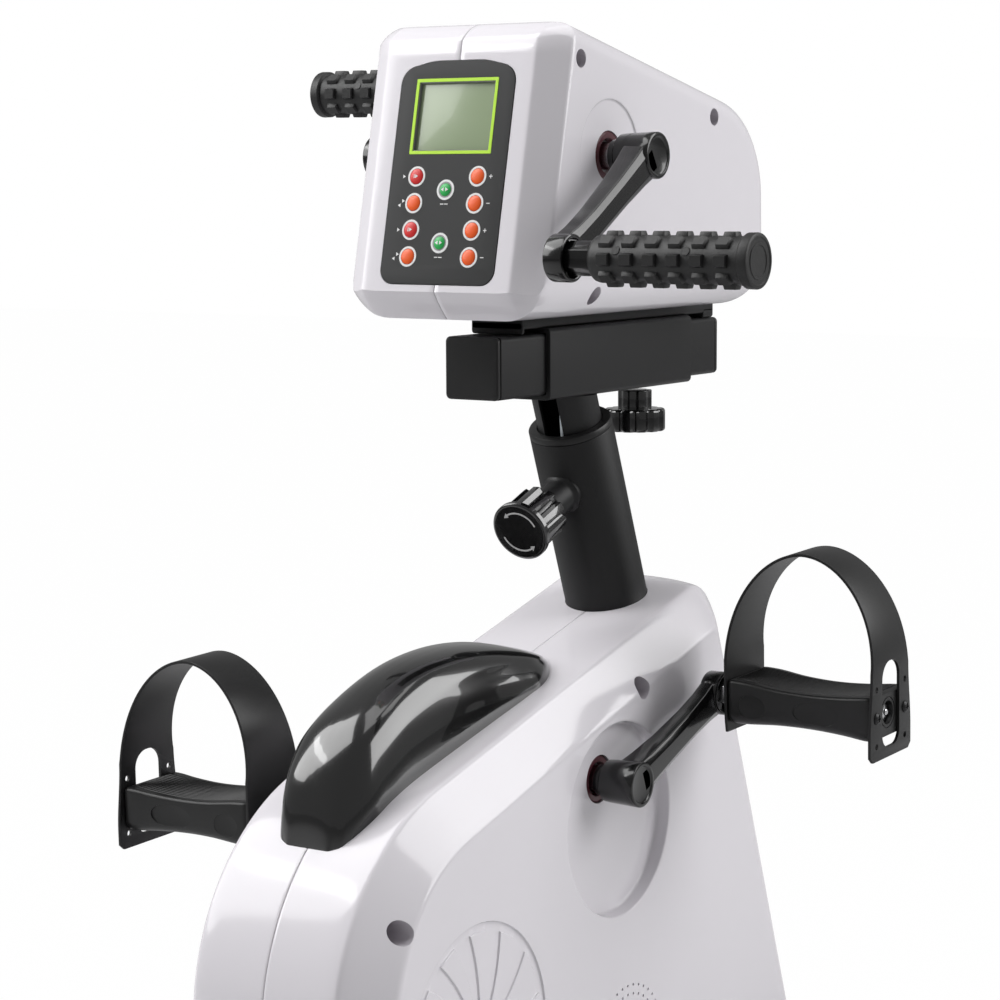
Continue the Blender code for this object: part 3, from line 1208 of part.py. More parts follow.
def pedal(word, side, parent):
    """Waisted pedal block, and the one-piece strap with its slotted outer plate."""
    stations = ((0.0, 0.524, -0.476, 0.963), (0.113, 0.502, -0.463, 1.0),
                (0.330, 0.406, -0.419, 0.963), (0.566, 0.368, -0.425, 0.941),
                (0.802, 0.400, -0.476, 0.963), (0.943, 0.444, -0.527, 1.0),
                (1.0, 0.451, -0.533, 0.963))
    rings = []
    for share, top, foot, half in stations:
        along = share * PEDAL_LENGTH
        top, foot, half = top * PEDAL_THICKNESS, foot * PEDAL_THICKNESS, half * PEDAL_DEPTH / 2
        outline = ((half - 0.004, top), (half - 0.0012, top - 0.0030), (half, top - 0.009),
                   (half, foot + 0.011), (half - 0.003, foot + 0.004), (half - 0.009, foot))
        ring = [(y, z) for y, z in outline] + [(-y, z) for y, z in reversed(outline)]
        rings.append([(side * (PEDAL_INNER_X + along), y, z) for y, z in ring])
    block = piece("pedal_" + word, loft_mesh(rings), SATIN_BLACK, parent)
    near, far = PEDAL_INNER_X, PEDAL_INNER_X + PEDAL_LENGTH
    cut(block, rod_mesh((side * (near - WALL), 0, 0), (side * (far + WALL), 0, 0),
                        SPINDLE_RADIUS + GAP, 16),
        rod_mesh((side * (far - WALL), 0, 0), (side * (far + WALL), 0, 0), PEDAL_EYE_RADIUS, 24))
    strap_piece(word, side, parent)


def strap_path():
    """Strap route as (x, z, width): up the inner face, over the arch, down the outer plate."""
    inner = PEDAL_INNER_X - GAP - STRAP_THICKNESS / 2
    outer = PEDAL_INNER_X + PEDAL_LENGTH + GAP + STRAP_THICKNESS / 2
    middle, reach = (inner + outer) / 2, (outer - inner) / 2
    rise = STRAP_TOP - STRAP_LEG_TOP
    path = [(inner, STRAP_INNER_FOOT, STRAP_BASE_WIDTH - 0.004),
            (inner, 0.0, STRAP_BASE_WIDTH)]
    steps = 22
    for i in range(steps + 1):
        turn = math.pi * (1 - i / steps)
        x = middle + reach * math.copysign(abs(math.cos(turn)) ** 1.06, math.cos(turn))
        lift = math.sin(turn) ** 0.98
        width = STRAP_BASE_WIDTH + (STRAP_TOP_WIDTH - STRAP_BASE_WIDTH) * lift ** 0.8
        path.append((x, STRAP_LEG_TOP + rise * lift, width))
    path += [(outer, 0.0, STRAP_BASE_WIDTH + 0.002),
             (outer, STRAP_OUTER_FOOT + 0.006, STRAP_FOOT_WIDTH),
             (outer, STRAP_OUTER_FOOT, STRAP_FOOT_WIDTH - 0.008)]
    return path


def strap_piece(word, side, parent):
    """A band of changing width along the strap's route, with the outer plate's slot."""
    path = strap_path()
    rings = []
    for k, (x, z, width) in enumerate(path):
        before = path[max(k - 1, 0)]
        after = path[min(k + 1, len(path) - 1)]
        way = Vector((after[0] - before[0], after[1] - before[1])).normalized()
        across = Vector((-way.y, way.x)) * STRAP_THICKNESS / 2
        half = width / 2
        rings.append([(side * (x + across.x), -half, z + across.y),
                      (side * (x + across.x), half, z + across.y),
                      (side * (x - across.x), half, z - across.y),
                      (side * (x - across.x), -half, z - across.y)])
    strap = piece("pedal_strap_" + word, loft_mesh(rings), SATIN_BLACK, parent)
    outer = PEDAL_INNER_X + PEDAL_LENGTH
    slot = rounded([(-WINDOW_HALF, WINDOW_FOOT, 0.009), (WINDOW_HALF, WINDOW_FOOT, 0.009),
                    (WINDOW_HALF, WINDOW_TOP, 0.012), (-WINDOW_HALF, WINDOW_TOP, 0.012)])
    placing = Matrix.Translation((side * (outer - 0.002), 0, 0)) @ Matrix(
        ((0, 0, 1, 0), (1, 0, 0, 0), (0, 1, 0, 0), (0, 0, 0, 1)))
    cut(strap, plate_mesh(slot, 0.026, placing),
        rod_mesh((side * (PEDAL_INNER_X - 0.01), 0, 0), (side * (PEDAL_INNER_X + 0.002), 0, 0),
                 HEX_RADIUS + 0.001, 24))


def hand_cranks():
    """Axle, two arms with hexagonal collars and spindles, and the ribbed grips."""
    crank_axis = axis_empty("hand_crank_axis", (0, 0, HEAD_AXLE_Z), HAND_CRANK_ANGLE)
    axle("hand_axle", HAND_HUB_X, crank_axis)
    for word, side in SIDES:
        turn = 0.0 if side > 0 else math.pi + LEFT_ARM_OFFSET
        arm, placed = crank_arm("hand_crank_" + word, side, turn, HAND_HUB_X, crank_axis)
        end_y = CRANK_RADIUS
        cup = CRANK_WIDTH - CUP_DEPTH - 0.001
        grip_start = CRANK_WIDTH + HAND_HEX_LENGTH
        join(arm, placed(hex_rod(side, cup, grip_start, end_y)),
             placed(rod_mesh((side * (grip_start - 0.002), end_y, 0),
                             (side * (grip_start + GRIP_LENGTH - GRIP_END_WALL), end_y, 0),
                             SPINDLE_RADIUS, 16)))
        end = (0, end_y * math.cos(turn), end_y * math.sin(turn))
        grip_axis = axis_empty(f"grip_{word}_axis", end, -HAND_CRANK_ANGLE - turn, crank_axis)
        hand_grip(word, side, grip_axis)


def hand_grip(word, side, parent):
    """Rubber grip with rows of square lugs round it and a flat end."""
    start = HAND_HUB_X + CRANK_WIDTH + HAND_HEX_LENGTH + GAP
    end = start + GRIP_LENGTH
    body = turned_mesh(((0.0, GRIP_LENGTH), (GRIP_RADIUS - 0.001, GRIP_LENGTH),
                        (GRIP_RADIUS, GRIP_LENGTH - 0.001), (GRIP_RADIUS, 0.0025),
                        (GRIP_RADIUS - 0.0025, 0.0), (0.0, 0.0)),
                       (side * start, 0, 0), (side, 0, 0), 24)
    grip = piece("hand_grip_" + word, body, RUBBER_BLACK, parent)
    for row in range(GRIP_LUG_ROWS):
        angle = 2 * math.pi * row / GRIP_LUG_ROWS
        bars = []
        for column in range(GRIP_LUG_COLUMNS):
            along = GRIP_LUG_START + column * GRIP_LUG_PITCH
            low, high = sorted((side * (start + along),
                                side * (start + along + GRIP_LUG_LENGTH)))
            bars.append(box_mesh((low, -GRIP_LUG_HALF, GRIP_RADIUS - WALL),
                                 (high, GRIP_LUG_HALF, GRIP_LUG_RADIUS)))
        merged = bmesh.new()
        for bar in bars:
            merged.from_mesh(bar)
        bmesh.ops.rotate(merged, verts=merged.verts, matrix=Matrix.Rotation(angle, 3, "X"))
        join(grip, finish_mesh(merged, "lugs"))
    cut(grip, rod_mesh((side * (start - 0.01), 0, 0),
                       (side * (end - GRIP_END_WALL + GAP), 0, 0), SPINDLE_RADIUS + GAP, 16))


floor_frame()
lower_shells()
fender_cover()
foot_drive()
power_inlet()
post_and_knob()
mast_and_sleeve()
HEAD_AXIS, HEAD_PIECE, TO_HEAD = slide_and_clamp()
PLACE = console(HEAD_PIECE)
head_shells(HEAD_PIECE, PLACE)
hand_drive(HEAD_PIECE)
foot_cranks()
hand_cranks()
bpy.context.view_layer.update()
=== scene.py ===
import math

import bmesh
import bpy
import numpy as np
from mathutils import Matrix, Vector


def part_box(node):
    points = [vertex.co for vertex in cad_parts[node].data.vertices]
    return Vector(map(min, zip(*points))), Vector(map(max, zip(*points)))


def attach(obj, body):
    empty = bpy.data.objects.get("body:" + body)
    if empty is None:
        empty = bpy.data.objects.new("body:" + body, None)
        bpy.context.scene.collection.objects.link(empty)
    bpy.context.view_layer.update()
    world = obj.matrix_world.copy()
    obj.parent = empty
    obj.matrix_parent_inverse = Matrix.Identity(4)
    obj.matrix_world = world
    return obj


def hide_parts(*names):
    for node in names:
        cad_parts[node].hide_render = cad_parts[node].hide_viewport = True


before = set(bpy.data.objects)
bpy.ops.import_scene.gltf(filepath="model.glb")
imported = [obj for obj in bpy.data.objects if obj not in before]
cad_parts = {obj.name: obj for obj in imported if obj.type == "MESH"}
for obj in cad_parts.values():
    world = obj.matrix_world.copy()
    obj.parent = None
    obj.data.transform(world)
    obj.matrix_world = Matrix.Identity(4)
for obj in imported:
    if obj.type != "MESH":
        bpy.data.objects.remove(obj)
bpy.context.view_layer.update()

# Camera. It stands in front of the unit on the user's right, level with the hand cranks, and
# looks slightly down. Its place, lean and lens come from the photograph's straight edges.
CAMERA_PLACE = (0.98103, -1.50476, 0.68813)
CAMERA_TURN, CAMERA_PITCH, CAMERA_ROLL = np.radians((33.39, 6.87, -0.26))
SENSOR_WIDTH, LENS_IN_WIDTHS = 36.0, 2.71432
right_way = np.array((math.cos(CAMERA_TURN), math.sin(CAMERA_TURN), 0.0))
look_way = np.array((-math.sin(CAMERA_TURN) * math.cos(CAMERA_PITCH),
                     math.cos(CAMERA_TURN) * math.cos(CAMERA_PITCH), -math.sin(CAMERA_PITCH)))
up_way = np.cross(right_way, look_way)
rolled_right = right_way * math.cos(CAMERA_ROLL) + up_way * math.sin(CAMERA_ROLL)
rolled_up = up_way * math.cos(CAMERA_ROLL) - right_way * math.sin(CAMERA_ROLL)
camera_data = bpy.data.cameras.new("camera")
camera_data.sensor_width = SENSOR_WIDTH
camera_data.lens = SENSOR_WIDTH * LENS_IN_WIDTHS
camera = bpy.data.objects.new("camera", camera_data)
camera.matrix_world = Matrix.Translation(CAMERA_PLACE) @ Matrix(
    (rolled_right, rolled_up, -look_way)).transposed().to_4x4()
bpy.context.scene.collection.objects.link(camera)
bpy.context.scene.camera = camera
bpy.context.scene.view_settings.view_transform = "Standard"

# Studio. A pale floor and a surround that the camera sees at full white and the gloss sees
# dimly, so that the pale plastic keeps its shading. Four square lamps stand high on the left,
# over the nose, over the top and on the right.
SURROUND_LIGHT, SURROUND_IN_GLOSS = 0.21, 0.12
world = bpy.data.worlds.new("studio")
bpy.context.scene.world = world
world.use_nodes = True
nodes, links = world.node_tree.nodes, world.node_tree.links
light_path = nodes.new("ShaderNodeLightPath")
mirrored = nodes.new("ShaderNodeMath")
mirrored.operation = "MULTIPLY"
mirrored.inputs[1].default_value = SURROUND_IN_GLOSS
links.new(light_path.outputs["Is Glossy Ray"], mirrored.inputs[0])
seen = light_path.outputs["Is Camera Ray"]
for other in (light_path.outputs["Is Transmission Ray"], mirrored.outputs[0]):
    larger = nodes.new("ShaderNodeMath")
    larger.operation = "MAXIMUM"
    links.new(seen, larger.inputs[0])
    links.new(other, larger.inputs[1])
    seen = larger.outputs[0]
strength = nodes.new("ShaderNodeMapRange")
links.new(seen, strength.inputs["Value"])
strength.inputs["To Min"].default_value = SURROUND_LIGHT
strength.inputs["To Max"].default_value = 1.0
links.new(strength.outputs[0], nodes["Background"].inputs["Strength"])
nodes["Background"].inputs["Color"].default_value = (1.0, 1.0, 1.0, 1.0)


def lamp(name, place, target, size, power):
    """A square lamp at a place, turned to face a target."""
    data = bpy.data.lights.new(name, "AREA")
    data.shape = "SQUARE"
    data.size = size
    data.energy = power
    made = bpy.data.objects.new(name, data)
    made.location = place
    made.rotation_euler = (Vector(target) - Vector(place)).to_track_quat("-Z", "Y").to_euler()
    bpy.context.scene.collection.objects.link(made)


lamp("key_lamp", (-2.1, -1.35, 1.8), (0.0, 0.0, 0.45), 1.6, 37.0)
lamp("over_lamp", (-0.86, -0.60, 2.0), (0.0, -0.1, 0.40), 1.3, 23.0)
lamp("side_lamp", (2.2, 1.35, 1.8), (0.0, 0.0, 0.45), 2.0, 57.0)
lamp("top_lamp", (0.3, 0.6, 2.6), (0.0, 0.0, 0.40), 1.3, 9.0)


def raw_mesh(name, verts, faces):
    """A mesh from an array of points and a list of index arrays of equal-sided faces."""
    mesh = bpy.data.meshes.new(name)
    loops = np.concatenate([f.ravel() for f in faces]).astype(np.int32)
    sizes = np.concatenate([np.full(len(f), f.shape[1]) for f in faces])
    mesh.vertices.add(len(verts))
    mesh.vertices.foreach_set("co", np.asarray(verts, np.float32).ravel())
    mesh.loops.add(len(loops))
    mesh.loops.foreach_set("vertex_index", loops)
    mesh.polygons.add(len(sizes))
    starts = np.concatenate(([0], np.cumsum(sizes)[:-1])).astype(np.int32)
    mesh.polygons.foreach_set("loop_start", starts)
    mesh.update(calc_edges=True)
    mesh.validate()
    return mesh


def fine_texture_group():
    """Moulded or painted skin: fine cells for a bump, soft clouds for colour and gloss."""
    tree = bpy.data.node_groups.new("fine_texture", "ShaderNodeTree")
    for label, start in (("Cells", 900.0), ("Clouds", 14.0)):
        socket = tree.interface.new_socket(label, in_out="INPUT", socket_type="NodeSocketFloat")
        socket.default_value = start
    for label in ("Height", "Cloud"):
        tree.interface.new_socket(label, in_out="OUTPUT", socket_type="NodeSocketFloat")
    add = tree.nodes.new
    inside, outside = add("NodeGroupInput"), add("NodeGroupOutput")
    place = add("ShaderNodeTexCoord")
    cells, clouds = add("ShaderNodeTexNoise"), add("ShaderNodeTexNoise")
    cells.inputs["Detail"].default_value = 2.0
    clouds.inputs["Detail"].default_value = 5.0
    for texture, label in ((cells, "Cells"), (clouds, "Clouds")):
        tree.links.new(place.outputs["Object"], texture.inputs["Vector"])
        tree.links.new(inside.outputs[label], texture.inputs["Scale"])
    tree.links.new(cells.outputs["Fac"], outside.inputs["Height"])
    tree.links.new(clouds.outputs["Fac"], outside.inputs["Cloud"])
    return tree


FINE_TEXTURE = fine_texture_group()


def finish(name, colour, roughness, metallic=0.0, coat=0.0, cells=900.0, clouds=14.0, grain=0.02,
           tint=0.06, gloss_change=0.08, specular=0.5):
    """A moulded, painted or metal finish: base colour with faint clouds, uneven gloss and grain."""
    made = bpy.data.materials.new(name)
    made.use_nodes = True
    tree = made.node_tree
    shader = tree.nodes["Principled BSDF"]
    shader.inputs["Metallic"].default_value = metallic
    shader.inputs["Coat Weight"].default_value = coat
    shader.inputs["Coat Roughness"].default_value = 0.03
    shader.inputs["Specular IOR Level"].default_value = specular
    texture = tree.nodes.new("ShaderNodeGroup")
    texture.node_tree = FINE_TEXTURE
    texture.inputs["Cells"].default_value = cells
    texture.inputs["Clouds"].default_value = clouds
    paint = tree.nodes.new("ShaderNodeMix")
    paint.data_type = "RGBA"
    paint.inputs["A"].default_value = (*[c * (1 - tint) for c in colour], 1.0)
    paint.inputs["B"].default_value = (*[min(c * (1 + tint), 1.0) for c in colour], 1.0)
    tree.links.new(texture.outputs["Cloud"], paint.inputs["Factor"])
    tree.links.new(paint.outputs["Result"], shader.inputs["Base Color"])
    gloss = tree.nodes.new("ShaderNodeMapRange")
    gloss.inputs["To Min"].default_value = roughness * (1 - gloss_change)
    gloss.inputs["To Max"].default_value = roughness * (1 + gloss_change)
    tree.links.new(texture.outputs["Cloud"], gloss.inputs["Value"])
    tree.links.new(gloss.outputs["Result"], shader.inputs["Roughness"])
    bump = tree.nodes.new("ShaderNodeBump")
    bump.inputs["Strength"].default_value = grain
    bump.inputs["Distance"].default_value = 0.001
    tree.links.new(texture.outputs["Height"], bump.inputs["Height"])
    tree.links.new(bump.outputs["Normal"], shader.inputs["Normal"])
    return made


# The camera sees the floor glow with only a trace of shade, as on a lit white sweep.
FLOOR_HALF, FLOOR_DROP, FLOOR_GLOW = 9.0, 0.0004, 0.992
floor_corners = np.array([(x * FLOOR_HALF, y * FLOOR_HALF, -FLOOR_DROP)
                          for x, y in ((-1, -1), (1, -1), (1, 1), (-1, 1))])
floor_mesh = raw_mesh("floor", floor_corners, [np.array(((0, 1, 2, 3),))])
floor = bpy.data.objects.new("floor", floor_mesh)
bpy.context.scene.collection.objects.link(floor)
pale = finish("floor_paint", (0.62, 0.62, 0.625), 0.6, cells=60.0, clouds=3.0, tint=0.01)
tree = pale.node_tree
path = tree.nodes.new("ShaderNodeLightPath")
glow = tree.nodes.new("ShaderNodeEmission")
glow.inputs["Strength"].default_value = 1.0
blend_in = tree.nodes.new("ShaderNodeMath")
blend_in.operation = "MULTIPLY"
blend_in.inputs[1].default_value = FLOOR_GLOW
mixer = tree.nodes.new("ShaderNodeMixShader")
tree.links.new(path.outputs["Is Camera Ray"], blend_in.inputs[0])
tree.links.new(blend_in.outputs[0], mixer.inputs["Fac"])
tree.links.new(tree.nodes["Principled BSDF"].outputs[0], mixer.inputs[1])
tree.links.new(glow.outputs[0], mixer.inputs[2])
tree.links.new(mixer.outputs[0], tree.nodes["Material Output"].inputs["Surface"])
floor_mesh.materials.append(pale)

# Lower housing. Two glossy white mouldings that meet on the middle line: a flat band round the
# front and top, a bevel beside it, and a side face that widens downwards. A round dish in the
# side lets the crank sit close, and two deep pockets hold the screws that close the halves.
WHITE = (0.80, 0.775, 0.815)
white_abs = finish("white_abs", WHITE, 0.12, coat=0.15, cells=420.0, grain=0.004, tint=0.012,
                   specular=0.40)
BODY_FRONT, BODY_FLOOR = -0.2770, 0.0416
TOP_HEIGHT, TOP_SLOPE = 0.3600, 0.264
NOSE_RADIUS, TAIL_RADIUS, TAIL_LEAST = 0.142, 0.032, 0.006
REAR_FOOT, REAR_SLOPE, REAR_ROUND = 0.3286, 0.366, 0.105
TOP_LENGTH, REAR_LENGTH = math.hypot(1, TOP_SLOPE), math.hypot(1, REAR_SLOPE)
NOSE_Y = BODY_FRONT + NOSE_RADIUS
NOSE_Z = TOP_HEIGHT + TOP_SLOPE * NOSE_Y - NOSE_RADIUS * TOP_LENGTH
NOSE_END = NOSE_Y - NOSE_RADIUS * math.sin(math.atan(TOP_SLOPE))
BAND_HALF, CHAMFER_RISE, CHAMFER_SOFT, RIDGE_SOFT = 0.053, 1.35, 0.0016, 0.0035
FLARE_HEIGHTS = np.array((0.0, 0.080, 0.140, 0.200, 0.250, 0.290, 0.318, 0.345, 0.430))
FLARE_HALVES = np.array((0.0788, 0.0783, 0.0775, 0.0765, 0.0757, 0.0750, 0.0741, 0.0733, 0.0730))
AXLE_HEIGHT, HOLE_RADIUS = 0.290, 0.0162
DISH_Y, DISH_Z, DISH_RADIUS, DISH_FLOOR = 0.0127, 0.2614, 0.065, 0.0668
DISH_LIP, DISH_FILLET, DISH_DRAFT = 0.0014, 0.0022, 0.0006
BODY_SCREWS, BODY_POCKET = ((0.0475, 0.3440), (-0.2330, 0.2420)), 0.0074
SKIN, FIT_GAP, SHARP_ANGLE = 0.0026, 0.0003, 34.0
SIDES = (("right", 1.0), ("left", -1.0))


def outwards(mesh):
    """Turn the faces of a closed mesh outwards."""
    bm = bmesh.new()
    bm.from_mesh(mesh)
    bmesh.ops.remove_doubles(bm, verts=bm.verts, dist=0.000004)
    bmesh.ops.recalc_face_normals(bm, faces=bm.faces)
    bm.to_mesh(mesh)
    bm.free()


def grid_faces(rows, columns, closed=True, first=0):
    """Four-sided faces of a grid of points, whose columns may join up."""
    across = np.arange(columns if closed else columns - 1)
    nearby = (across + 1) % columns
    down = np.arange(rows - 1)[:, None] * columns + first
    return np.stack((down + across, down + nearby, down + columns + nearby,
                     down + columns + across), -1).reshape(-1, 4)


def loft(name, rings, capped=True):
    """A closed form carried through rings of points; the first and last are filled."""
    rings = np.asarray(rings, float)
    rows, columns, _ = rings.shape
    faces = [grid_faces(rows, columns)]
    if capped:
        faces += [np.arange(columns)[None, ::-1], np.arange(columns)[None] + (rows - 1) * columns]
    mesh = raw_mesh(name, rings.reshape(-1, 3), faces)
    outwards(mesh)
    return mesh


def axis_matrix(origin, direction):
    """Columns of a frame whose third axis is the direction."""
    turn = Vector((0, 0, 1)).rotation_difference(Vector(direction)).to_matrix()
    return np.array(turn), np.array(origin, float)


def lathe(name, profile, origin, direction, steps=72):
    """Radius and height pairs turned round a direction; a tube's profile is closed."""
    profile = np.asarray(profile, float)
    if profile[0, 0] > 0 and profile[-1, 0] > 0:
        profile = np.concatenate((profile, profile[:1]))
    turn = np.linspace(0, 2 * math.pi, steps, endpoint=False)
    rings = np.stack((profile[:, :1] * np.cos(turn), profile[:, :1] * np.sin(turn),
                      np.repeat(profile[:, 1:], steps, 1)), -1)
    basis, start = axis_matrix(origin, direction)
    return loft(name, rings @ basis.T + start, capped=False)


def rounded(corners, steps=8):
    """Closed outline of (a, b, radius) corners: each corner is an arc that meets both sides."""
    points = []
    for k, (a, b, radius) in enumerate(corners):
        here = np.array((a, b))
        before = np.array(corners[k - 1][:2]) - here
        after = np.array(corners[(k + 1) % len(corners)][:2]) - here
        before, after = before / np.hypot(*before), after / np.hypot(*after)
        half = math.acos(np.clip(before @ after, -1, 1)) / 2
        middle = here + (before + after) / np.hypot(*(before + after)) * radius / math.sin(half)
        start = here + before * radius / math.tan(half) - middle
        turn = -np.sign(before[0] * after[1] - before[1] * after[0])
        swing = turn * (math.pi - 2 * half) * np.linspace(0, 1, steps + 1)
        points.append(np.stack((middle[0] + start[0] * np.cos(swing) - start[1] * np.sin(swing),
                                middle[1] + start[0] * np.sin(swing) + start[1] * np.cos(swing)),
                               -1))
    return np.concatenate(points)


def bar(name, outline, plane, low, high, edge=0.0008, rounds=4):
    """An outline carried from low to high with rounded rims. Plane gives its three axes."""
    outline = np.asarray(outline, float)
    middle = (outline.max(0) + outline.min(0)) / 2
    reach = (outline.max(0) - outline.min(0)) / 2
    turn = np.linspace(0, math.pi / 2, rounds + 1)
    inset = edge * (1 - np.sin(turn))
    height = np.concatenate((low + edge * (1 - np.cos(turn)), high - edge * (1 - np.cos(turn[::-1]))))
    shrink = np.concatenate((inset, inset[::-1]))
    scale = 1 - shrink[:, None] / reach
    flat = middle + (outline - middle) * scale[:, None, :]
    origin, a, b, c = (np.array(v, float) for v in plane)
    rings = (origin + flat[..., :1] * a + flat[..., 1:] * b + height[:, None, None] * c)
    return loft(name, rings)


def box_bar(name, low, high, radius=0.0015, edge=0.0008, along="x"):
    """A bar of rectangular section with rounded edges between two corners of a box."""
    order = {"x": (1, 2, 0), "y": (0, 2, 1), "z": (0, 1, 2)}[along]
    axes = np.eye(3)[list(order)]
    a, b, c = (np.array((low, high), float)[:, k] for k in order)
    outline = rounded([(a[0], b[0], radius), (a[1], b[0], radius), (a[1], b[1], radius),
                       (a[0], b[1], radius)], 5)
    return bar(name, outline, (np.zeros(3), *axes), c[0], c[1], edge)


def round_cut(radius, top, foot, origin, direction, steps=40):
    """A round cutter along a direction, between two heights over its origin."""
    profile = [(0, top), (radius, top), (radius, foot), (0, foot)]
    return lathe("cutter", profile, origin, direction, steps)


def box_of(node):
    """Lower and upper corner of a CAD node's box, as arrays."""
    return [np.array(v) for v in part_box(node)]


def joined(name, meshes):
    """Several closed meshes as the one mesh of a piece."""
    bm = bmesh.new()
    for mesh in meshes:
        bm.from_mesh(mesh)
    merged = bpy.data.meshes.new(name)
    bm.to_mesh(merged)
    bm.free()
    return merged


def add_piece(name, mesh, finish, body, replaced=(), sharp=SHARP_ANGLE):
    """Put a finished mesh in the scene, riding on its body and standing for its CAD nodes."""
    mesh.name = name
    mesh.shade_smooth()
    mesh.set_sharp_from_angle(angle=math.radians(sharp))
    mesh.materials.clear()
    mesh.materials.append(finish)
    made = bpy.data.objects.new(name, mesh)
    bpy.context.scene.collection.objects.link(made)
    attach(made, body)
    if replaced:
        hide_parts(*replaced)
    return made


def cut_by(target, *meshes):
    """Cut closed meshes out of a piece, and apply the cut."""
    tool_mesh = joined("cutter", meshes)
    tool = bpy.data.objects.new("cutter", tool_mesh)
    bpy.context.scene.collection.objects.link(tool)
    step = target.modifiers.new("cut", "BOOLEAN")
    step.solver = "EXACT"
    step.object = tool
    bpy.context.view_layer.update()
    graph = bpy.context.evaluated_depsgraph_get()
    result = bpy.data.meshes.new_from_object(target.evaluated_get(graph))
    target.modifiers.clear()
    target.data = result
    bpy.data.objects.remove(tool)
    result.shade_smooth()
    result.set_sharp_from_angle(angle=math.radians(SHARP_ANGLE))


def walled(shell):
    """Give a moulding its wall, inwards from its skin."""
    skin = shell.modifiers.new("wall", "SOLIDIFY")
    skin.thickness = SKIN
    skin.offset = -1.0


def curve(a, b, c, q):
    """A curve from a to c that leaves and arrives along the lines to b, at a share q of it:
    (1 - q)^2 a + 2 q (1 - q) b + q^2 c."""
    return (1 - q) ** 2 * a + 2 * q * (1 - q) * b + q ** 2 * c


def flare(z):
    """Half width of the housing's side face at a height."""
    return np.interp(z, FLARE_HEIGHTS, FLARE_HALVES)


def at_distance(x, flat):
    """Points of the side view at a distance from the middle plane, one for all or one each."""
    return np.concatenate((np.broadcast_to(np.reshape(x, (-1, 1)), (len(flat), 1)), flat), 1)


def soft_step(d, soft):
    """Zero below the start and rising straight after it, with a rounded corner between."""
    return (d + np.sqrt(d * d + soft * soft)) / 2


def body_outline(rise, rear):
    """Side view of the lower housing for an inset of the front and top and one of the rear: up
    the front, round the nose arc, along the top, round the tail arc and down the rear."""
    top_turn, end_turn = math.pi / 2 + math.atan(TOP_SLOPE), math.atan(REAR_SLOPE)
    corner_z = (TOP_HEIGHT - rise * TOP_LENGTH + TOP_SLOPE * (REAR_FOOT - rear * REAR_LENGTH)) / (
        1 + TOP_SLOPE * REAR_SLOPE)
    corner_y = REAR_FOOT - REAR_SLOPE * corner_z - rear * REAR_LENGTH
    half = (math.pi - (top_turn - end_turn)) / 2
    tail = np.maximum(TAIL_RADIUS - (rise + rear) / 2, TAIL_LEAST)
    middle_turn = (top_turn + end_turn) / 2
    tail_y = corner_y - tail / math.sin(half) * math.cos(middle_turn)
    tail_z = corner_z - tail / math.sin(half) * math.sin(middle_turn)
    u = np.linspace(0, 1, 13)[:-1]
    front = BODY_FRONT + rise + 0 * u, BODY_FLOOR + u * (NOSE_Z - BODY_FLOOR) + 0 * rise
    turn = math.pi + (top_turn - math.pi) * np.linspace(0, 1, 41)
    nose = (NOSE_Y + (NOSE_RADIUS - rise) * np.cos(turn),
            NOSE_Z + (NOSE_RADIUS - rise) * np.sin(turn))
    u = np.linspace(0, 1, 27)[1:-1]
    start = [c[..., -1:] for c in nose]
    end = tail_y + tail * math.cos(top_turn), tail_z + tail * math.sin(top_turn)
    top = [a + (b - a) * u for a, b in zip(start, end)]
    turn = top_turn + (end_turn - top_turn) * np.linspace(0, 1, 25)
    bend = tail_y + tail * np.cos(turn), tail_z + tail * np.sin(turn)
    u = np.linspace(0, 1, 25)[1:]
    foot = REAR_FOOT - REAR_SLOPE * BODY_FLOOR - rear * REAR_LENGTH
    back = (bend[0][..., -1:] * (1 - u) + foot * u, bend[1][..., -1:] * (1 - u) + BODY_FLOOR * u)
    width = rise.shape[0]
    parts = (front, nose, top, bend, back)
    return [np.concatenate([np.broadcast_to(p[k], (width, p[k].shape[-1])) for p in parts], 1)
            for k in (0, 1)]


def insets_at(x):
    """Insets of the front and top and of the rear at a distance from the middle plane."""
    rise = CHAMFER_RISE * soft_step(x - BAND_HALF, CHAMFER_SOFT)
    plan = REAR_ROUND - np.sqrt(REAR_ROUND ** 2 - np.minimum(x, REAR_ROUND) ** 2)
    return rise, plan + 0.4 * rise


def rows_at(x, extra=0.0):
    """Outline points for a column of distances, one for each row, all with one extra inset."""
    rise, rear = insets_at(x)
    return body_outline(rise[:, None] + extra, rear[:, None] + extra)


columns = body_outline(np.zeros((1, 1)), np.zeros((1, 1)))[0].shape[1]
# The ridge is where the bevel meets the side face. Each round sets it at the side's width there.
ridge_x = np.full(columns, 0.077)
for _ in range(14):
    ys, zs = rows_at(ridge_x)
    ridge_y, ridge_z = np.diagonal(ys).copy(), np.diagonal(zs).copy()
    ridge_x = flare(ridge_z)
ridge = np.stack((ridge_x, ridge_y, ridge_z), -1)

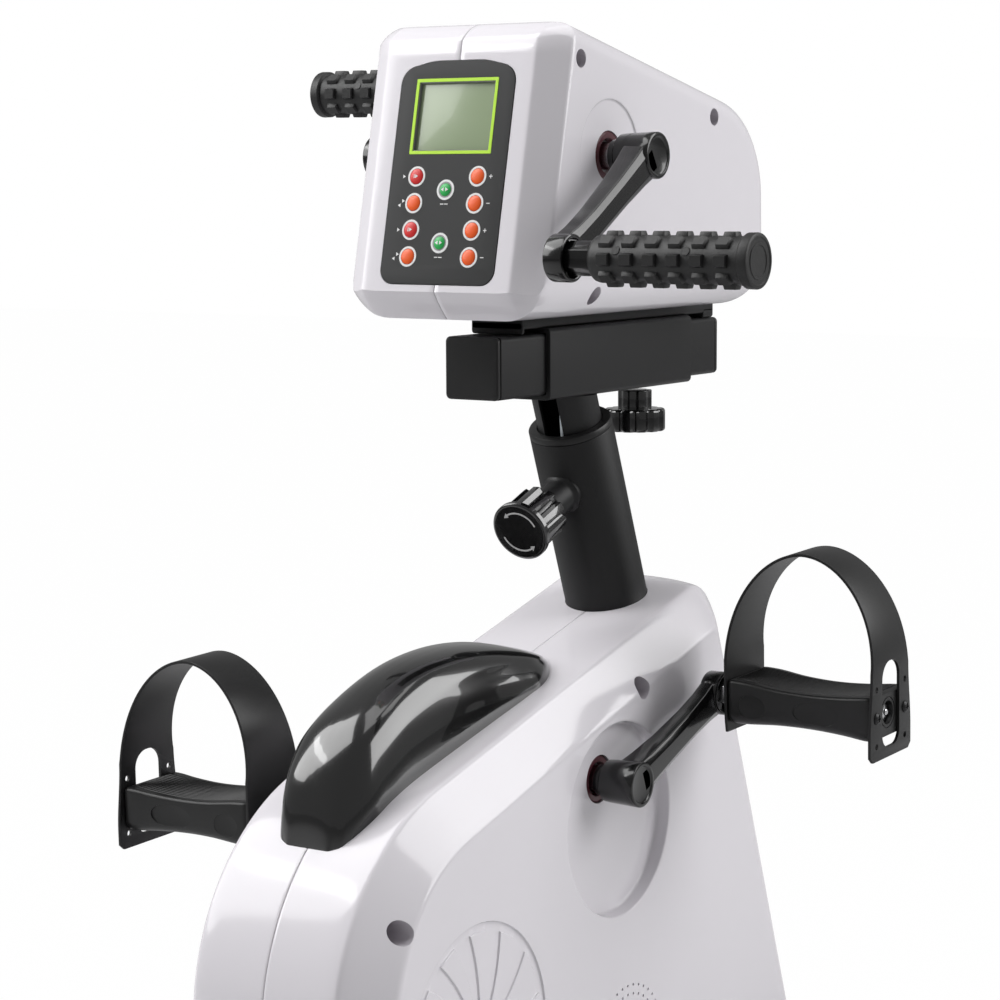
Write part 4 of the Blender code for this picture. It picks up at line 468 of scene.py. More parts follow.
# Rows of the band and the bevel: a fine groove at the seam, then shares of the way out to the
# ridge, and last a soft turn over the ridge on to the side face.
SEAM_ROWS = ((0.00015, 0.0005), (0.00028, 0.0002), (0.0006, 0.0))
grid = []
for x, extra in SEAM_ROWS:
    ys, zs = rows_at(np.array((x,)), extra)
    grid.append(at_distance(x, np.stack((ys[0], zs[0]), -1)))
for share in np.concatenate((np.linspace(0.03, 0.66, 13), np.linspace(0.675, 0.78, 10),
                             np.linspace(0.81, 0.94, 5))):
    ys, zs = rows_at(ridge_x * share)
    grid.append(at_distance(ridge_x * share, np.stack((np.diagonal(ys), np.diagonal(zs)), -1)))
dish = np.array((DISH_Y, DISH_Z))
inward = dish - ridge[:, 1:]
inward /= np.linalg.norm(inward, axis=1, keepdims=True)
after_y, after_z = (ridge[:, 1:] + inward * RIDGE_SOFT).T
after = np.stack((flare(after_z), after_y, np.maximum(after_z, BODY_FLOOR)), -1)
before_way = grid[-1] - ridge
before = ridge + before_way / np.linalg.norm(before_way, axis=1, keepdims=True) * RIDGE_SOFT
grid += [curve(before, ridge, after, q) for q in np.linspace(0, 1, 7)]
band_grid = np.array(grid)
band_grid[:, [0, -1], 2] = BODY_FLOOR

# The side face: lines run from the ridge and the bottom edge to the dish's rim, then down
# its wall and over its floor to the axle hole.
foot_line = np.linspace(band_grid[-1, -1], band_grid[-1, 0], 38)[1:-1]
loop = np.concatenate((band_grid[-1], foot_line))
turn = np.arctan2(loop[:, 2] - DISH_Z, loop[:, 1] - DISH_Y)
ray = np.stack((np.cos(turn), np.sin(turn)), -1)
rim = dish + ray * (DISH_RADIUS + DISH_LIP)
grid = []
for q in np.linspace(0, 1, 30):
    flat = loop[:, 1:] + (rim - loop[:, 1:]) * q
    grid.append(at_distance(flare(flat[:, 1]), flat))
grid[0] = loop
lip, rim_x = grid[-1], grid[-1][:, 0]
corner = at_distance(rim_x, dish + ray * DISH_RADIUS)
wall = at_distance(rim_x - DISH_LIP, dish + ray * DISH_RADIUS)
grid += [curve(lip, corner, wall, q) for q in np.linspace(0, 1, 6)[1:]]
foot = at_distance(DISH_FLOOR, dish + ray * (DISH_RADIUS - DISH_DRAFT))
above = foot + np.array((DISH_FILLET, 0, 0))
inner = at_distance(DISH_FLOOR, dish + ray * (DISH_RADIUS - DISH_DRAFT - DISH_FILLET))
grid += [curve(above, foot, inner, q) for q in np.linspace(0, 1, 6)]
hole = at_distance(DISH_FLOOR, np.array((0, AXLE_HEIGHT)) + ray * HOLE_RADIUS)
grid += [inner + (hole - inner) * q for q in np.linspace(0, 1, 8)[1:]]
side_grid = np.array(grid)

# What the mouldings are cut for: the post through the top, the fan, the grille and the socket.
POST_FOOT, POST_LEAN, POST_RADIUS = 0.2695, math.radians(20.97), 0.029
up_post = np.array((0.0, -math.sin(POST_LEAN), math.cos(POST_LEAN)))


def post_point(z):
    """The point of the post's axis at a height."""
    return np.array((0.0, POST_FOOT - math.tan(POST_LEAN) * z, z))


inlet_low, inlet_high = box_of("power_inlet")
FAN_PLACE, FAN_RADIUS, FAN_DEPTH = np.array((-0.1593, 0.1543)), 0.0766, 0.0014
BLADES, BLADE_TIP, BLADE_ROOT, BLADE_TURN = 13, 0.0708, 0.0200, math.radians(88.9)
GRILLE_PLACE, GRILLE_REACH, GRILLE_HOLE = (0.0195, 0.1015), 0.0443, 0.00105
GRILLE_STEP, GRILLE_PITCH = 0.0061, 0.00715


def fan_tool(side):
    """A round tool that presses a fan into the side face. Its end is a fan-shaped relief: a flat
    ring, curved blades that rise from it to nearly the skin, and a round boss in the middle."""
    wall = 0.0004
    rows = [(FAN_RADIUS, -3.0, 0), (FAN_RADIUS, 0.0, 0), (FAN_RADIUS - 0.0002, 0.3, 0),
            (FAN_RADIUS - 0.0006, 0.85, 0), (FAN_RADIUS - 0.0010, 1.0, 0), (BLADE_TIP + wall, 1.0, 0)]
    rows += [(BLADE_TIP + wall / 3, 1, 0.15), (BLADE_TIP - wall / 3, 1, 0.85)]
    rows += [(r, 1, 1.0) for r in np.linspace(BLADE_TIP - wall, BLADE_ROOT + wall, 22)]
    rows += [(BLADE_ROOT + wall / 3, 1, 0.85), (BLADE_ROOT - wall / 3, 1, 0.15),
             (BLADE_ROOT - wall, 1, 0), (0.0132, 1, 0), (0.0126, 0.85, 0), (0.0122, 0.3, 0),
             (0.0116, 0.1, 0), (0.0006, 0.1, 0)]
    radius, sink, blade = np.array(rows).T
    pitch = 2 * math.pi / BLADES
    slack = np.minimum(wall / (pitch * np.maximum(radius, 0.004)), 0.10)[:, None]
    stations = np.concatenate([s * 0.25 + slack * np.array((-1, -0.33, 0.33, 1)) for s in (-1, 1)],
                              1)
    stations = np.concatenate((stations[:, :4], 0 * slack - 0.08, 0 * slack + 0.08,
                               stations[:, 4:], 0 * slack + 0.42, 0 * slack + 0.58), 1)
    up = np.array((0, 0.15, 0.85, 1, 1, 1, 1, 0.85, 0.15, 0, 0, 0))
    sweep = np.radians(np.interp(radius, (0.020, 0.0289, 0.047, 0.0706), (-11, -9.0, -5.4, 0)))
    turns = np.arange(BLADES)[None, :, None] + stations[:, None]
    turn = (BLADE_TURN + sweep[:, None, None] + pitch * turns).reshape(len(rows), -1)
    lift = np.tile(up, BLADES) * blade[:, None] * 0.9
    y = FAN_PLACE[0] + radius[:, None] * np.cos(turn)
    z = FAN_PLACE[1] + radius[:, None] * np.sin(turn)
    x = flare(z) - FAN_DEPTH * (sink[:, None] - lift)
    return loft("fan", np.stack((side * x, y, z), -1))


def grille_tools(side):
    """Small round holes on rings one inside another, and one in the middle."""
    tools = []
    for radius in np.append(np.arange(GRILLE_REACH, 0.006, -GRILLE_STEP), 0.0):
        count = max(round(2 * math.pi * radius / GRILLE_PITCH), 1)
        for angle in math.pi / 2 + 2 * math.pi * np.arange(count) / count:
            place = (side * 0.070, GRILLE_PLACE[0] + radius * math.cos(angle),
                     GRILLE_PLACE[1] + radius * math.sin(angle))
            tools.append(round_cut(GRILLE_HOLE, 0.02, 0, place, (side, 0, 0), 10))
    return tools


for word, side in SIDES:
    mirror = np.array((side, 1, 1))
    points = np.concatenate([(rows * mirror).reshape(-1, 3) for rows in (band_grid, side_grid)])
    faces = [grid_faces(*band_grid.shape[:2], closed=False),
             grid_faces(*side_grid.shape[:2], first=band_grid.shape[0] * columns)]
    if side > 0:
        faces = [f[:, ::-1] for f in faces]
    mesh = raw_mesh("lower_shell", points, faces)
    bm = bmesh.new()
    bm.from_mesh(mesh)
    bmesh.ops.remove_doubles(bm, verts=bm.verts, dist=0.00002)
    bm.to_mesh(mesh)
    bm.free()
    shell = add_piece("shell_lower_" + word, mesh, white_abs, "base",
                      ["lower_shell_" + word])
    walled(shell)
    tools = [round_cut(POST_RADIUS + 0.0004, 0.20, 0, post_point(0.31), up_post, 64)]
    tools += [round_cut(BODY_POCKET + 0.0001, 0.05, 0, (side * 0.050, y, z), (side, 0, 0))
              for y, z in BODY_SCREWS]
    if side < 0:
        tools.append(box_bar("inlet_cut", (-0.09, *(inlet_low[1:] - FIT_GAP)),
                             (-0.06, *(inlet_high[1:] + FIT_GAP))))
    cut_by(shell, fan_tool(side), *grille_tools(side), *tools)

# Screws of the housing. Black cross-head steel screws sit at the foot of deep round pockets in the
# white mouldings. The pockets' lining is the white plastic painted darker, as painted shade for the
# little light that gets into them.
POCKET_FLOOR, POCKET_WALL = 0.040, 0.0012
screw_black = finish("screw_black", (0.02, 0.02, 0.021), 0.35, metallic=0.6, cells=1500.0)
# Painted shade: a darker copy of the white plastic for the pockets' lining, standing in for the shade
# in the deep holes.
painted_shade_abs = finish("white_abs_painted_shade", (0.56, 0.53, 0.57), 0.30, cells=420.0, grain=0.01)


def plus_outline(reach, half):
    """Outline of a plus sign, by the reach of its arms and half their width."""
    return [(half, reach), (-half, reach), (-half, half), (-reach, half), (-reach, -half),
            (-half, -half), (-half, -reach), (half, -reach), (half, -half), (reach, -half),
            (reach, half), (half, half)]


def screw_heads(name, places, body, radius=0.0042):
    """Pan heads at (centre, direction) places, each with a cross cut into it."""
    heads, crosses = [], []
    plus = plus_outline(radius * 0.62, radius * 0.16)
    for centre, direction in places:
        heads.append(lathe("screw", [(0, 0.0021), (radius * 0.45, 0.0020), (radius * 0.8, 0.0015),
                                     (radius, 0.0005), (radius, 0.0), (0, 0.0)], centre,
                           direction, 28))
        turned, start = axis_matrix(centre, direction)
        crosses.append(bar("cross", plus, (start, *turned.T), 0.0010, 0.004, 0.00002, 1))
    made = add_piece(name, joined("screws", heads), screw_black, body)
    cut_by(made, *crosses)


def pocket_cup(side, y, z, radius, floor, skin_x):
    """A round pocket along X. Its rim lies just under the skin, whose X is given by a function."""
    turn = np.linspace(0, 2 * math.pi, 40, endpoint=False)
    outer, rings = radius + POCKET_WALL, []
    for r, depth in ((0.0004, floor), (radius - 0.0008, floor), (radius, floor + 0.0008),
                     (radius, -0.0005), (outer, -0.0014), (outer, floor - POCKET_WALL),
                     (0.0004, floor - POCKET_WALL)):
        ys, zs = y + r * np.cos(turn), z + r * np.sin(turn)
        x = skin_x(ys, zs) + depth if depth < 0 else np.full(40, depth)
        rings.append(np.stack((side * x, ys, zs), -1))
    return loft("pocket", rings)


def screw_pockets(name, places, radius, floor, skin_x, body):
    """Lined pockets on both sides at places of the side view, with a screw in each."""
    cups = [pocket_cup(side, y, z, radius, floor, skin_x) for y, z in places for _, side in SIDES]
    add_piece(name + "_pockets", joined("pockets", cups), painted_shade_abs, body)
    screw_heads(name + "_screws", [((side * floor, y, z), (side, 0, 0))
                                   for y, z in places for _, side in SIDES], body)


def housing_skin(y, z):
    """Distance of the housing's skin from the middle plane at places of the side view."""
    under_top = (TOP_HEIGHT + TOP_SLOPE * y - z) / TOP_LENGTH
    behind = np.where(z > NOSE_Z, NOSE_RADIUS - np.hypot(y - NOSE_Y, z - NOSE_Z), y - BODY_FRONT)
    rise = np.where(y < NOSE_END, behind, under_top)
    return np.minimum(BAND_HALF + rise / CHAMFER_RISE, flare(z))


screw_pockets("shell", BODY_SCREWS, BODY_POCKET, POCKET_FLOOR, housing_skin, "base")

# Fender. A glossy black moulded hood over the drive. It rises steeply at the nose, swells over
# the middle and runs out to a low round tip, with a soft hollow along each shoulder.
black_gloss = finish("black_gloss_plastic", (0.004, 0.004, 0.0042), 0.17, coat=1.0, cells=700.0,
                     grain=0.006, tint=0.10, specular=0.46)
CROWN_Y = np.array((-0.2300, -0.2296, -0.2280, -0.2225, -0.2045, -0.1730, -0.1350, -0.0950, -0.0570,
                    -0.0070, 0.0120, 0.0200, 0.0235))
CROWN_Z = np.array((0.2750, 0.2880, 0.3060, 0.3275, 0.3505, 0.3685, 0.3810, 0.3855, 0.3838,
                    0.3733, 0.3674, 0.3654, 0.3645))
HALF_Y = np.array((-0.2300, -0.2275, -0.2228, -0.2165, -0.2070, -0.1900, -0.1570, -0.1300, -0.1060,
                   -0.0688, -0.0406, -0.0193, -0.0080, 0.0022, 0.0102, 0.0164, 0.0212, 0.0235))
HALF_X = np.array((0.0150, 0.0212, 0.0258, 0.0295, 0.0328, 0.0342, 0.0338, 0.0343, 0.0350,
                   0.0362, 0.0372, 0.0366, 0.0330, 0.0268, 0.0200, 0.0130, 0.0066, 0.0028))
SECTION_X = np.array((1.0, 0.992, 0.958, 0.900, 0.835, 0.745, 0.600, 0.420, 0.210, 0.0))
SECTION_Z = np.array((0.0, 0.16, 0.36, 0.545, 0.685, 0.800, 0.898, 0.958, 0.991, 1.0))


def smooth_curve(t, knots, values):
    """A curve through values at knots, whose slopes come from the neighbouring values."""
    slope = np.gradient(values, knots)
    k = np.clip(np.searchsorted(knots, t) - 1, 0, len(knots) - 2)
    width = knots[k + 1] - knots[k]
    u = (t - knots[k]) / width
    return ((1 + 2 * u) * (1 - u) ** 2 * values[k] + u * (1 - u) ** 2 * width * slope[k]
            + u * u * (3 - 2 * u) * values[k + 1] - u * u * (1 - u) * width * slope[k + 1])


def band_height(y):
    """Height of the flat band's surface over the nose arc and the straight top."""
    arc = NOSE_Z + np.sqrt(np.maximum(NOSE_RADIUS ** 2 - (y - NOSE_Y) ** 2, 0.0))
    return np.where(y < NOSE_END, arc, TOP_HEIGHT + TOP_SLOPE * y)


knots = np.concatenate(([0.0], np.cumsum(np.hypot(np.diff(CROWN_Y), np.diff(CROWN_Z)))))
travel = knots[-1] * (1 - np.cos(np.linspace(0, math.pi, 110))) / 2
spine_y, spine_z = smooth_curve(travel, knots, CROWN_Y), smooth_curve(travel, knots, CROWN_Z)
fender_half = smooth_curve(spine_y, HALF_Y, HALF_X)
foot = np.minimum(band_height(spine_y) - 0.0015, spine_z - 0.0008)
share = np.linspace(0, len(SECTION_X) - 1, 34)
ladder = np.arange(len(SECTION_X))
profile_x, profile_z = smooth_curve(share, ladder, SECTION_X), smooth_curve(share, ladder, SECTION_Z)
across = np.concatenate((profile_x, -profile_x[-2::-1]))
lift = np.concatenate((profile_z, profile_z[-2::-1]))
hollow = 0.0007 * np.exp(-((np.abs(across) - 0.86) / 0.05) ** 2) * np.clip(
    (spine_y[:, None] + 0.17) / 0.10, 0, 1)
rings = np.stack((fender_half[:, None] * across - hollow * np.sign(across),
                  np.repeat(spine_y[:, None], len(across), 1),
                  foot[:, None] + (spine_z - foot)[:, None] * lift), -1)
add_piece("fender_hood", loft("fender", rings), black_gloss, "base",
          ["fender_cover"], sharp=60.0)

# Floor rails. Two black rectangular steel tubes lie across the floor under the housing, each
# end closed by a moulded rubber cap that is also the foot.
black_steel = finish("black_steel_paint", (0.010, 0.010, 0.0105), 0.46, cells=1300.0, grain=0.05,
                     tint=0.12, specular=0.32)
rubber = finish("black_rubber", (0.012, 0.012, 0.0122), 0.46, cells=900.0, grain=0.10, tint=0.12,
                specular=0.40)
CAP_THICK = 0.018
for word in ("front", "rear"):
    low, high = box_of(word + "_rail")
    add_piece("rail_" + word, box_bar("rail", low, high, 0.004, 0.0006), black_steel,
              "base", [word + "_rail"])
    for hand, side in SIDES:
        node = f"foot_cap_{word}_{hand}"
        low, high = box_of(node)
        outer = max(abs(low[0]), abs(high[0]))
        outline = rounded([(low[1], low[2], 0.003), (high[1], low[2], 0.003),
                           (high[1], high[2], 0.010), (low[1], high[2], 0.010)], 8)
        cap = bar("cap", outline, (np.zeros(3), (0, 1, 0), (0, 0, 1), (side, 0, 0)),
                  outer - CAP_THICK, outer, 0.0025, 6)
        add_piece(f"cap_{word}_{hand}", cap, rubber, "base", [node])

# Post. A round steel tube, painted black, comes up through the top of the housing and leans
# towards the user, with a short boss for the locking pin. A flanged nylon bushing closes its
# mouth round the inner mast.
nylon = finish("black_nylon", (0.012, 0.012, 0.0122), 0.38, cells=800.0, grain=0.03, specular=0.36)
POST_RIM, POST_END, POST_WALL = 0.5184, 0.30, 0.003
MAST_RADIUS, BUSH_FLANGE, BUSH_GAP = 0.02225, 0.005, 0.0004
rim = post_point(POST_RIM)
shoulder = rim - up_post * BUSH_FLANGE
length = np.linalg.norm(shoulder - post_point(POST_END))
wall = POST_RADIUS - POST_WALL
tube = lathe("post", [(POST_RADIUS, -length), (POST_RADIUS, -0.0008), (POST_RADIUS - 0.0003, -0.0002),
                      (POST_RADIUS - 0.0010, 0.0), (wall, 0.0), (wall, -length)],
             shoulder, up_post, 96)
KNOB_STATION = 0.4794
out_knob = np.array((0.0, -math.cos(POST_LEAN), -math.sin(POST_LEAN)))
station = post_point(KNOB_STATION)
boss = lathe("boss", [(0, 0.049), (0.0100, 0.049), (0.0114, 0.0484), (0.0118, 0.0474),
                      (0.0118, 0.032), (0.0124, 0.0300), (0.0146, 0.0280), (0.0146, 0.020),
                      (0, 0.020)], station, out_knob, 48)
add_piece("post", joined("post", [tube, boss]), black_steel, "base", ["post_tube"])
bore = MAST_RADIUS + BUSH_GAP
bush = lathe("bush", [(bore, -0.038), (bore, -0.0005), (bore + 0.0006, 0.0), (0.0274, 0.0),
                      (0.0284, -0.0004), (POST_RADIUS, -0.0014), (POST_RADIUS, -0.0046),
                      (0.0257, -0.0047), (0.0257, -0.038)], rim, up_post, 96)
add_piece("bushing", bush, nylon, "base", ["post_bushing"])

# Height knob. A ten-fluted black knob on the boss, closed by a flat round face with two printed
# arrows. The steel pin runs through it into the mast.
KNOB_FACE, KNOB_LENGTH, KNOB_RADIUS = 0.0842, 0.031, 0.0190
FACE_RADIUS, FACE_THICK = 0.0210, 0.0047
ARROW_RADIUS, ARROW_HALF, ARROW_BARB = 0.0140, 0.0006, 0.0018
ARROW_TURN, ARROW_TIP = 1.75, 0.26


def fluted(radius, depth, count, steps=14):
    """A round outline with round flutes: the radius dips by depth at each flute."""
    turn = np.linspace(0, 2 * math.pi, count * steps, endpoint=False)
    bite = depth * np.maximum(np.cos(count * turn), 0.0) ** 0.7
    return np.stack(((radius - bite) * np.cos(turn), (radius - bite) * np.sin(turn)), -1)


basis, _ = axis_matrix(station, out_knob)
knob_plane = (station, basis[:, 0], basis[:, 1], basis[:, 2])
body = bar("knob", fluted(KNOB_RADIUS, 0.0034, 10), knob_plane, KNOB_FACE - KNOB_LENGTH,
           KNOB_FACE - 0.0046, 0.0012)
face = lathe("face", [(0, KNOB_FACE), (0.0100, KNOB_FACE), (FACE_RADIUS - 0.0022, KNOB_FACE),
                      (FACE_RADIUS - 0.0018, KNOB_FACE), (FACE_RADIUS - 0.0007, KNOB_FACE - 0.0003),
                      (FACE_RADIUS, KNOB_FACE - 0.0011), (FACE_RADIUS, KNOB_FACE - 0.0040),
                      (FACE_RADIUS - 0.0007, KNOB_FACE - FACE_THICK),
                      (0, KNOB_FACE - FACE_THICK)], station, out_knob, 72)
add_piece("knob_height", joined("knob", [body, face]), black_gloss,
          "lock_knob", ["height_knob"])
knob_print = finish("knob_print", (0.55, 0.55, 0.55), 0.5)
arrows = []
for start in (0.35, 0.35 + math.pi):
    turn = start + np.linspace(0, ARROW_TURN, 26)
    inner, outer = (np.stack((0 * turn + ARROW_RADIUS + half, turn), -1)
                    for half in (-ARROW_HALF, ARROW_HALF))
    head = np.array(((ARROW_RADIUS - ARROW_BARB, turn[-1]), (ARROW_RADIUS, turn[-1] + ARROW_TIP),
                     (ARROW_RADIUS + ARROW_BARB, turn[-1])))
    radius, angle = np.concatenate((inner, head, outer[::-1])).T
    flat = np.stack((radius * np.cos(angle), radius * np.sin(angle)), -1)
    arrows.append(loft("arrow", [station + flat @ basis[:, :2].T + basis[:, 2] * height
                                 for height in (KNOB_FACE - 0.0003, KNOB_FACE + 0.00012)]))
add_piece("knob_arrows", joined("arrows", arrows), knob_print, "lock_knob")

# Mast. The inner tube slides in the bushing and ends in the welded square sleeve; a slot in
# its front lets the white cable come down from the head, and a row of holes takes the pin.
SLEEVE_BOTTOM, SLEEVE_SIZE = 0.5384, 0.048
MAST_FOOT, MAST_TOP, MAST_WALL = -0.228, 0.055, 0.0025
SLOT_HALF, SLOT_DROP, SLOT_END = 0.0075, 0.030, 0.10
PIN_HOLES, PIN_PITCH, PIN_HOLE = 5, 0.030, 0.0045
CABLE_RADIUS, CABLE_FALL, CABLE_SWING = 0.002, 0.084, 0.70
inside = MAST_RADIUS - MAST_WALL
mast_mesh = lathe("mast", [(MAST_RADIUS, MAST_FOOT), (MAST_RADIUS, MAST_TOP), (inside, MAST_TOP),
                           (inside, MAST_FOOT)], rim, up_post, 96)
mast = add_piece("mast", mast_mesh, black_steel, "mast", ["mast_tube"])
front_top = (SLEEVE_BOTTOM - POST_RIM) / math.cos(POST_LEAN)
slot = rounded([(-SLOT_HALF, front_top - SLOT_DROP, SLOT_HALF - 0.0002),
                (SLOT_HALF, front_top - SLOT_DROP, SLOT_HALF - 0.0002),
                (SLOT_HALF, SLOT_END, 0.001), (-SLOT_HALF, SLOT_END, 0.001)], 10)
cut_by(mast, box_bar("top_cut", (-0.1, -0.1, SLEEVE_BOTTOM - FIT_GAP), (0.1, 0.3, 0.65)))
drop = (KNOB_STATION - POST_RIM) / math.cos(POST_LEAN)
cut_by(mast, bar("slot", slot, (rim, (1, 0, 0), up_post, out_knob), 0.012, 0.040, 0.0002),
       *[round_cut(PIN_HOLE, 0.03, 0.010, rim + up_post * (drop - (k + 0.5) * PIN_PITCH), out_knob,
                   28) for k in range(PIN_HOLES)])


def tube_along(name, path, radius, steps=12):
    """A round tube whose centre line is a list of points, with flat ends."""
    path = np.asarray(path, float)
    way = np.gradient(path, axis=0)
    way /= np.linalg.norm(way, axis=1, keepdims=True)
    lean = np.array((0.31, 0.17, 0.93))
    first = np.cross(way, lean)
    first /= np.linalg.norm(first, axis=1, keepdims=True)
    second = np.cross(way, first)
    turn = np.linspace(0, 2 * math.pi, steps, endpoint=False)
    rings = (path[:, None] + radius * (np.cos(turn)[None, :, None] * first[:, None]
                                       + np.sin(turn)[None, :, None] * second[:, None]))
    return loft(name, rings)


# The cable hangs inside the slot and swings round the tube's wall on its way down.
cable_white = finish("cable_white", (0.72, 0.78, 0.82), 0.35, cells=300.0)
q = np.linspace(0, 1, 40)
reach, swing = inside - CABLE_RADIUS - FIT_GAP, 0.42 - CABLE_SWING * q
route = (rim + np.outer(reach * np.sin(swing), (1, 0, 0)) + np.outer(reach * np.cos(swing), out_knob)
         + np.outer(front_top - 0.004 - CABLE_FALL * q, up_post))
add_piece("cable", tube_along("cable", route, CABLE_RADIUS, 14), cable_white,
          "mast", ["mast_cable"], sharp=60.0)

# Sleeve and slide. A square tube under the head slides in the welded sleeve, with a nylon cap
# pressed in each end; a flat bracket carries the head on it.
SLIDE_HALF, CAP_SHOWN = 0.0205, 0.004
CLAMP_Y, CLAMP_FOOT = 0.1588, 0.5054
BRACKET_CUT, BRACKET_THICK, BRACKET_STEP = 0.024, 0.0087, 0.004
BRACKET_FEET = (-0.0165, 0.2225)
low, high = box_of("slide_sleeve")
low[2] = SLEEVE_BOTTOM
sleeve = add_piece("sleeve", joined("sleeve", [
    box_bar("sleeve", low, high, 0.0035, 0.0006, "y"),
    lathe("boss", [(0, 0.002), (0.009, 0.002), (0.009, -0.0030), (0.0085, -0.0035), (0, -0.0035)],
          (0, CLAMP_Y, SLEEVE_BOTTOM), (0, 0, 1), 40)]), black_steel, "mast",
    ["slide_sleeve"])
room = SLIDE_HALF + FIT_GAP
middle = SLEEVE_BOTTOM + SLEEVE_SIZE / 2
cut_by(sleeve, box_bar("bore", (-room, -1, middle - room), (room, 1, middle + room), 0.002,
                       0.0005, "y"))
low, high = box_of("slide_tube")
add_piece("slide", box_bar("slide", low, high, 0.003, 0.0005, "y"), black_steel,
          "head", ["slide_tube"])
for word in ("front", "rear"):
    low, high = box_of("tube_cap_" + word)
    if word == "front":
        high[1] = low[1] + CAP_SHOWN
    else:
        low[1] = high[1] - CAP_SHOWN
    add_piece("slide_cap_" + word, box_bar("cap", low, high, 0.0034, 0.0014, "y"), nylon,
              "head", ["tube_cap_" + word])
low, high = box_of("head_bracket")
low[1] += BRACKET_CUT
corners = [((low[0], low[1], high[2] - BRACKET_THICK), high),
           (low, (high[0], BRACKET_FEET[0], high[2] - BRACKET_STEP)),
           ((low[0], BRACKET_FEET[1], low[2]), (high[0], high[1], high[2] - BRACKET_STEP))]
add_piece("bracket", joined("bracket", [box_bar("plate", *pair, 0.002, 0.0006, "y")
                                        for pair in corners]), black_steel, "head",
          ["head_bracket"])

# Clamp. A twelve-fluted black hand wheel under the sleeve, with a fluted neck, turns a screw
# that presses on the slide.
up_plane = ((0, CLAMP_Y, CLAMP_FOOT), (1, 0, 0), (0, 1, 0), (0, 0, 1))
wheel = bar("wheel", fluted(0.0218, 0.0022, 12), up_plane, 0.0, 0.016, 0.0022, 6)
neck = bar("neck", fluted(0.0120, 0.0012, 6), up_plane, 0.014, 0.0292, 0.0006)
add_piece("clamp", joined("clamp", [wheel, neck]), black_gloss, "clamp",
          ["clamp_knob"])

# Console head. Two glossy white mouldings meet on the middle line: a flat front that leans
# back, a wide bevel beside it, soft round edges elsewhere, and a shallow ring round each axle.
HEAD_BOTTOM = 0.5954
FRONT_FOOT, FRONT_SLOPE = -0.0955, 0.214
HEAD_TOP, HEAD_TOP_SLOPE = 0.7735, -0.220
HEAD_HALF, HEAD_FLAT, HEAD_RISE = 0.0750, 0.0568, 0.78
HEAD_AXLE, RING_RADIUS, RING_DEPTH, RING_EDGE = 0.6987, 0.036, 0.0012, 0.0010
HEAD_SCREWS, HEAD_POCKET = ((-0.0353, 0.7594), (0.1377, 0.7254), (-0.0113, 0.6094)), 0.0058
FILLET, HEAD_UNDER, HEAD_OVER, HEAD_REAR = 0.0045, 0.030, 0.014, 0.016
top_at = (HEAD_TOP + HEAD_TOP_SLOPE * (FRONT_FOOT - FRONT_SLOPE * HEAD_BOTTOM)) / (
    1 - HEAD_TOP_SLOPE * FRONT_SLOPE)
HEAD_CORNERS = np.array(((FRONT_FOOT, HEAD_BOTTOM), (0.2080, HEAD_BOTTOM), (0.2190, 0.6394),
                         (0.2170, HEAD_TOP + HEAD_TOP_SLOPE * 0.2170),
                         (FRONT_FOOT + FRONT_SLOPE * (top_at - HEAD_BOTTOM), top_at)))
HEAD_RADII = np.array((0.0150, 0.014, 0.060, 0.070, 0.014))
HEAD_FACETS = np.array((0.85, 0.0, 0.0, 0.0, 0.70))
ARC_STEPS = (8, 8, 8, 16, 10)
EDGE_STEPS = (26, 6, 8, 26, 16)


def head_outline(insets):
    """Side view of the head with each edge moved inwards: edge k runs from corner k on."""
    after = np.roll(HEAD_CORNERS, -1, 0) - HEAD_CORNERS
    after /= np.linalg.norm(after, axis=1, keepdims=True)
    inward = np.stack((-after[:, 1], after[:, 0]), -1)
    insets = np.asarray(insets)
    start = HEAD_CORNERS + inward * insets[..., None]
    way_in, at_in = np.roll(after, 1, 0), np.roll(start, 1, -2)
    cross = way_in[:, 0] * after[:, 1] - way_in[:, 1] * after[:, 0]
    gap = start - at_in
    along = (gap[..., 0] * after[:, 1] - gap[..., 1] * after[:, 0]) / cross
    corner = at_in + way_in * along[..., None]
    radius = np.maximum(HEAD_RADII - (insets + np.roll(insets, 1, -1)) / 2, 0.0012)
    turn = np.arctan2(cross, (way_in * after).sum(-1))
    reach = radius * np.tan(turn / 2)
    centre = corner - way_in * reach[..., None] + np.roll(inward, 1, 0) * radius[..., None]
    first = np.arctan2(-np.roll(inward, 1, 0)[:, 1], -np.roll(inward, 1, 0)[:, 0])
    parts = []
    for k in range(5):
        angle = first[k] + turn[k] * np.linspace(0, 1, ARC_STEPS[k] + 1)
        arc = centre[..., k, None, :] + radius[..., k, None, None] * np.stack(
            (np.cos(angle), np.sin(angle)), -1)
        way = np.linspace(0, 1, ARC_STEPS[k] + 1)[:, None]
        chord = arc[..., :1, :] + (arc[..., -1:, :] - arc[..., :1, :]) * way
        parts.append(arc + (chord - arc) * HEAD_FACETS[k])
    loops = []
    for k in range(5):
        a, b = parts[k][..., -1:, :], parts[(k + 1) % 5][..., :1, :]
        u = np.linspace(0, 1, EDGE_STEPS[k] + 1)[1:-1, None]
        loops += [parts[k], a + (b - a) * u]
    return np.concatenate(loops, -2)


